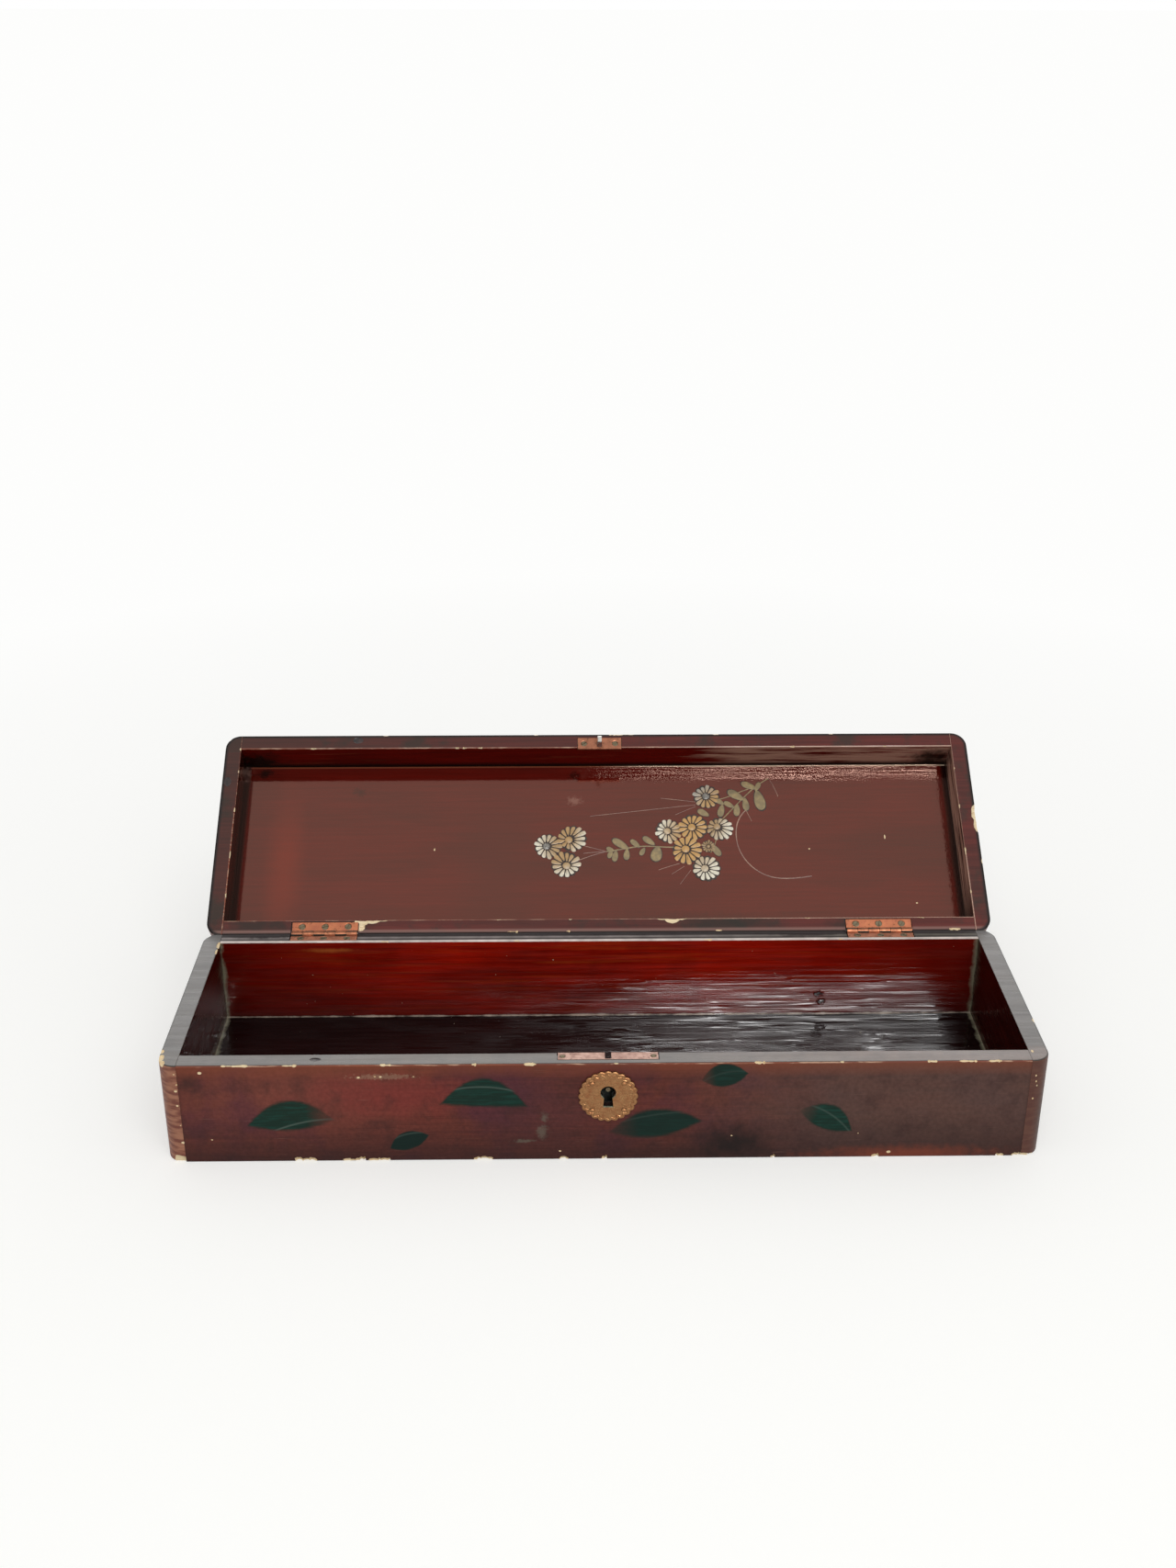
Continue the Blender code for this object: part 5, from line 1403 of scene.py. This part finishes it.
class LACQUER_BOX_OT_lock(bpy.types.Operator):
    """Model the lock's face and finish its works"""

    bl_idname = "lacquer_box.lock"
    bl_label = "Lock"

    def execute(self, context):
        metals()
        worn = context.scene.box_fittings.edge_round
        case = soften("lock_case", "lock_case_worn", worn, "tarnished copper")
        paint(case, ("sooty iron", lambda at, way: at.z < RIM - 1.2 * MM))
        settle(case, "box", "copper", "lock_case")
        bolt = soften("lock_bolt", "lock_bolt_worn", worn, "dull iron")
        settle(bolt, "bolt", "iron", "lock_bolt")
        refinish("lock_cap", "sooty iron")
        refinish("lock_spring", "sooty iron")
        refinish("lock_key_post", "dull iron")
        for node in ("lock_nail_1", "lock_nail_2"):
            low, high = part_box(node)
            middle = ((low.x + high.x) / 2, (low.y + high.y) / 2, RIM - 0.1 * MM)
            nail = dome(f"{node}_hammered", 1 * MM, middle, 0.26, "dull iron")
            slice_off(nail, (0, 0, RIM - 0.15 * MM), (0, 0, -1))
            shank(nail, 4.2 * MM)
            settle(nail, "box", "iron", node)
        return {"FINISHED"}


class LACQUER_BOX_OT_escutcheon(bpy.types.Operator):
    """Model the scalloped keyhole plate"""

    bl_idname = "lacquer_box.escutcheon"
    bl_label = "Escutcheon"

    def execute(self, context):
        metals()
        middle = (PLATE_LOW + PLATE_HIGH) / 2
        radius = (PLATE_HIGH.x - PLATE_LOW.x) / 2
        back = (middle.x, PLATE_HIGH.y, middle.z)
        plate = disc("escutcheon_scalloped", radius, back, "stippled brass", 192, TO_Y)
        for point in plate.data.vertices:
            turn = math.atan2(point.co.z - middle.z, point.co.x - middle.x)
            share = 1 - 0.6 * MM * (1 - abs(math.cos(12 * turn))) / radius
            point.co.x = middle.x + (point.co.x - middle.x) * share
            point.co.z = middle.z + (point.co.z - middle.z) * share
        pick(plate)
        pull(0, 0.2 * MM - (PLATE_HIGH.y - PLATE_LOW.y), 0)
        pull(0, -0.2 * MM, 0)
        bpy.ops.transform.resize(value=(0.975, 1, 0.975), center_override=(middle.x, PLATE_LOW.y, middle.z))
        for thickness, depth in ((0.75, 0), (0.12, -0.1), (0.12, 0.1)):
            bpy.ops.mesh.inset(thickness=thickness * MM, depth=depth * MM)
        close()
        bore = drum("plate_bore", 2.7 * MM, 6 * MM, (LOCK_X, PLATE_HIGH.y, KEY_Z), TO_Y, "verdigris edge", 40)
        skirt_low = (LOCK_X - 1.25 * MM, PLATE_LOW.y - 2 * MM, KEY_Z - 5.9 * MM)
        skirt_high = (LOCK_X + 1.25 * MM, PLATE_HIGH.y + 2 * MM, KEY_Z)
        skirt = block("plate_skirt", skirt_low, skirt_high, "verdigris edge")
        pick(skirt, test=lambda face: face.normal.z < -0.9)
        bpy.ops.transform.resize(value=(1.44, 1, 1))
        leave()
        carve(plate, bore, skirt)
        settle(plate, "box", "brass", "escutcheon", angle=25)
        for number in (1, 2, 3, 4):
            refinish(f"escutcheon_pin_{number}", "stippled brass")
        return {"FINISHED"}


class LACQUER_BOX_OT_strike(bpy.types.Operator):
    """Model the strike plate and its staple"""

    bl_idname = "lacquer_box.strike"
    bl_label = "Strike and Staple"

    def execute(self, context):
        metals()
        worn = context.scene.box_fittings.edge_round
        plate = soften("strike_plate", "strike_plate_worn", worn, "rubbed copper")
        settle(plate, "lid", "copper", "strike_plate")
        staple = soften("staple", "staple_polished", worn, "bright steel")
        settle(staple, "lid", "bright_steel", "staple")
        return {"FINISHED"}


class LACQUER_BOX_OT_flowers(bpy.types.Operator):
    """Model the flowers on the lid's panel, petal by petal"""

    bl_idname = "lacquer_box.flowers"
    bl_label = "Flowers"

    def execute(self, context):
        spray_paints()
        settings = context.scene.box_spray
        for number, (x, v, radius, lean, white_turn, white, gold) in enumerate(FLOWERS):
            middle = Vector((x * MM, HINGE.y + v * MM, LID_PANEL))
            size = radius * MM
            lift = 0.02 * MM * (number % 4)
            lean = Vector((*lean, 0)) * size
            flower = flower_petals(number, middle, size, lean, lift, settings)
            ground = flower_ground(middle, size, lift, settings.petals)
            heart_paint = "silver powder" if number in SILVER_HEARTS else "petal paint"
            heart_size = 0.27 * size
            heart_place = middle + lean + Vector((0, 0, lift))
            heart_flat = 1.5 * settings.relief / heart_size
            heart = dome("flower_heart", heart_size, heart_place, heart_flat, heart_paint)
            slice_off(heart, middle, (0, 0, -1))
            way = Vector((math.cos(math.radians(white_turn)), math.sin(math.radians(white_turn)), 0))
            for part, strength in ((flower, 1.0), (heart, 0.6)):
                tone_flower(part, middle, size, way, white, gold, number in SILVER_FLOWERS, strength)
            select(flower, ground, heart)
            bpy.ops.object.join()
            settle(flower, "lid", "brass", tilt=True)
        return {"FINISHED"}


class LACQUER_BOX_OT_stems(bpy.types.Operator):
    """Model the leaves, stems and grasses of the spray"""

    bl_idname = "lacquer_box.stems"
    bl_label = "Leaves and Stems"

    def execute(self, context):
        spray_paints()
        settings = context.scene.box_spray
        pattern = disc("spray_leaf_pattern", 0.5, (0, 0, 0), "olive gold", 16)
        for point in pattern.data.vertices:
            point.co.y *= 1 - 0.5 * point.co.x
        pick(pattern)
        pull(0, 0, 0.2)
        bpy.ops.mesh.inset(thickness=0.06, depth=0)
        pull(0, 0, 0.5)
        bpy.ops.mesh.inset(thickness=0.08, depth=0.3)
        bpy.ops.mesh.inset(thickness=0.12, depth=0.1)
        close()
        paint(pattern, ("outline lacquer", lambda at, way: at.z < 0.3))
        leaves = []
        for x, v, length, width, turn in SPRAY_LEAVES:
            leaf = copy_of(pattern, "spray_leaf")
            leaf.matrix_world = (
                Matrix.Translation((x * MM, HINGE.y + v * MM, LID_PANEL))
                @ Matrix.Rotation(math.radians(turn), 4, "Z")
                @ Matrix.Diagonal((length * MM, width * MM * 1.15, settings.relief * 0.55, 1))
            )
            leaves.append(leaf)
        bpy.data.objects.remove(pattern)
        select(*leaves)
        bpy.ops.object.transform_apply()
        bpy.ops.object.join()
        leaves[0].name = leaves[0].data.name = "spray_leaves"
        settle(leaves[0], "lid", "brass", tilt=True)

        lines = []
        for number, (width, points) in enumerate(SPRAY_LINES):
            curve = bpy.data.curves.new(f"spray_line_{number}", "CURVE")
            curve.dimensions = "3D"
            curve.bevel_depth = width * MM / 2
            curve.bevel_resolution = 1
            curve.resolution_u = 6
            path = curve.splines.new("NURBS")
            path.points.add(len(points) - 1)
            for point, (x, v) in zip(path.points, points):
                point.co = (x * MM, HINGE.y + v * MM, LID_PANEL, 1)
            path.use_endpoint_u = True
            path.order_u = min(4, len(points))
            gold = "olive gold" if number < SPRAY_STEMS else "thin gold"
            curve.materials.append(bpy.data.materials[gold])
            line = bpy.data.objects.new(f"spray_line_{number}", curve)
            context.scene.collection.objects.link(line)
            lines.append(line)
        select(*lines)
        bpy.ops.object.convert(target="MESH")
        bpy.ops.object.join()
        stems = context.object
        stems.name = stems.data.name = "spray_stems"
        for point in stems.data.vertices:
            point.co.z = LID_PANEL + (point.co.z - LID_PANEL) * 0.45 + 0.02 * MM
        settle(stems, "lid", "brass", tilt=True)
        return {"FINISHED"}


class LACQUER_BOX_OT_stage(bpy.types.Operator):
    """Set up the floor, the light and the camera"""

    bl_idname = "lacquer_box.stage"
    bl_label = "Stage"

    def execute(self, context):
        scene = context.scene
        settings = scene.box_stage
        select()
        bpy.ops.mesh.primitive_plane_add(size=200, location=(0, 0, 0))
        floor = take("floor")
        # Matt painted board: the camera and reflections see it paler than it lights the box
        board = Coat("pale floor")
        away = board.add("VectorMath", (board.place,), output="Value", operation="LENGTH")
        board.layer(settings.floor)
        board.layer((0, 0, 0), away, 0.2, 0.62)
        board.finish((0.9, 0.9), away, specular_ior_level=0.0, emission_color=(1, 1, 0.99, 1))
        glow = board.add("MapRange", (away, 0.2, 0.62, 0.43, 0.985))
        strength = board.add("Math", (seen_share(board.tree), glow), operation="MULTIPLY")
        board.tree.links.new(strength, board.shader.inputs["Emission Strength"])
        floor.data.materials.append(board.material)

        world = bpy.data.worlds.new("white room")
        scene.world = world
        world.use_nodes = True
        room = world.node_tree.nodes["Background"]
        room.inputs["Color"].default_value = (1, 1, 1, 1)
        level = add_node(world.node_tree, "MapRange", {0: seen_share(world.node_tree), 3: 0.6, 4: 1.0})
        world.node_tree.links.new(level, room.inputs["Strength"])

        # Name, shape, place, aimed at, width and height, radiance, lights surfaces, shows in gloss
        lamps = (
            ("front_softbox", "RECTANGLE", (0.2, -1.25, 1.35), (0, 0, 0), (1.6, 1.2), 2.3, True, False),
            ("rim_softbox", "RECTANGLE", (0, 1.35, 0.92), (0, 0, 0.04), (1.5, 0.62), 2.6, False, True),
            ("window", "ELLIPSE", (0.33, -1.3, 0.85), (0.08, 0.02, 0.03), (0.58, 0.1), 290.0, False, True),
        )
        for name, shape, place, aim, (wide, high), radiance, lights, shows in lamps:
            lamp = bpy.data.lights.new(name, "AREA")
            lamp.shape = shape
            lamp.size = wide
            lamp.size_y = high
            area = wide * high * (math.pi / 4 if shape == "ELLIPSE" else 1)
            lamp.energy = radiance * area * math.pi
            holder = bpy.data.objects.new(name, lamp)
            scene.collection.objects.link(holder)
            holder.location = place
            holder.rotation_euler = (Vector(aim) - Vector(place)).to_track_quat("-Z", "Y").to_euler()
            holder.visible_camera = False
            holder.visible_diffuse = lights
            holder.visible_glossy = shows
        # The window shows inside the box, but doesn't burn out the rims or the shut lid from behind
        shaded = bpy.data.collections.new("shaded_from_window")
        for name in ("front_board", "left_end_board", "right_end_board", "lid_top_board"):
            shaded.objects.link(bpy.data.objects[name + "_lacquered"])
        shaded.objects.link(bpy.data.objects["staple_polished"])
        for entry in shaded.collection_objects:
            entry.light_linking.link_state = "EXCLUDE"
        bpy.data.objects["window"].light_linking.receiver_collection = shaded

        camera_data = bpy.data.cameras.new("camera")
        camera_data.sensor_fit = "AUTO"
        camera_data.sensor_width = 36
        camera_data.lens = settings.lens
        camera_data.clip_start = 0.01
        camera = bpy.data.objects.new("camera", camera_data)
        scene.collection.objects.link(camera)
        turn = (
            Matrix.Rotation(-settings.yaw, 4, "Z")
            @ Matrix.Rotation(math.pi / 2 - settings.pitch, 4, "X")
            @ Matrix.Rotation(settings.roll, 4, "Z")
        )
        camera.matrix_world = Matrix.Translation(settings.camera) @ turn
        scene.camera = camera
        scene.view_settings.view_transform = "Standard"
        return {"FINISHED"}


OPERATORS = (
    LACQUER_BOX_OT_case_walls,
    LACQUER_BOX_OT_case_floor,
    LACQUER_BOX_OT_lid_boards,
    LACQUER_BOX_OT_hinges,
    LACQUER_BOX_OT_lock,
    LACQUER_BOX_OT_escutcheon,
    LACQUER_BOX_OT_strike,
    LACQUER_BOX_OT_flowers,
    LACQUER_BOX_OT_stems,
    LACQUER_BOX_OT_stage,
)
SETTINGS = {
    "box_lacquer": LacquerSettings,
    "box_fittings": FittingSettings,
    "box_spray": SpraySettings,
    "box_stage": StageSettings,
}


class LACQUER_BOX_PT_panel(bpy.types.Panel):
    """The box's settings and its steps in order"""

    bl_label = "Lacquer Box"
    bl_idname = "LACQUER_BOX_PT_panel"
    bl_space_type = "VIEW_3D"
    bl_region_type = "UI"
    bl_category = "Lacquer Box"

    def draw(self, context):
        for name, group in SETTINGS.items():
            column = self.layout.column()
            column.label(text=group.__doc__)
            for key in group.__annotations__:
                column.prop(getattr(context.scene, name), key)
        for operator in OPERATORS:
            self.layout.operator(operator.bl_idname)


def register():
    for group in (*SETTINGS.values(), *OPERATORS, LACQUER_BOX_PT_panel):
        bpy.utils.register_class(group)
    for name, group in SETTINGS.items():
        setattr(bpy.types.Scene, name, PointerProperty(type=group))


def unregister():
    for name in SETTINGS:
        delattr(bpy.types.Scene, name)
    for group in reversed((*SETTINGS.values(), *OPERATORS, LACQUER_BOX_PT_panel)):
        bpy.utils.unregister_class(group)


def main():
    register()
    for operator in OPERATORS:
        family, step = operator.bl_idname.split(".")
        getattr(getattr(bpy.ops, family), step)()


if __name__ == "__main__":
    main()
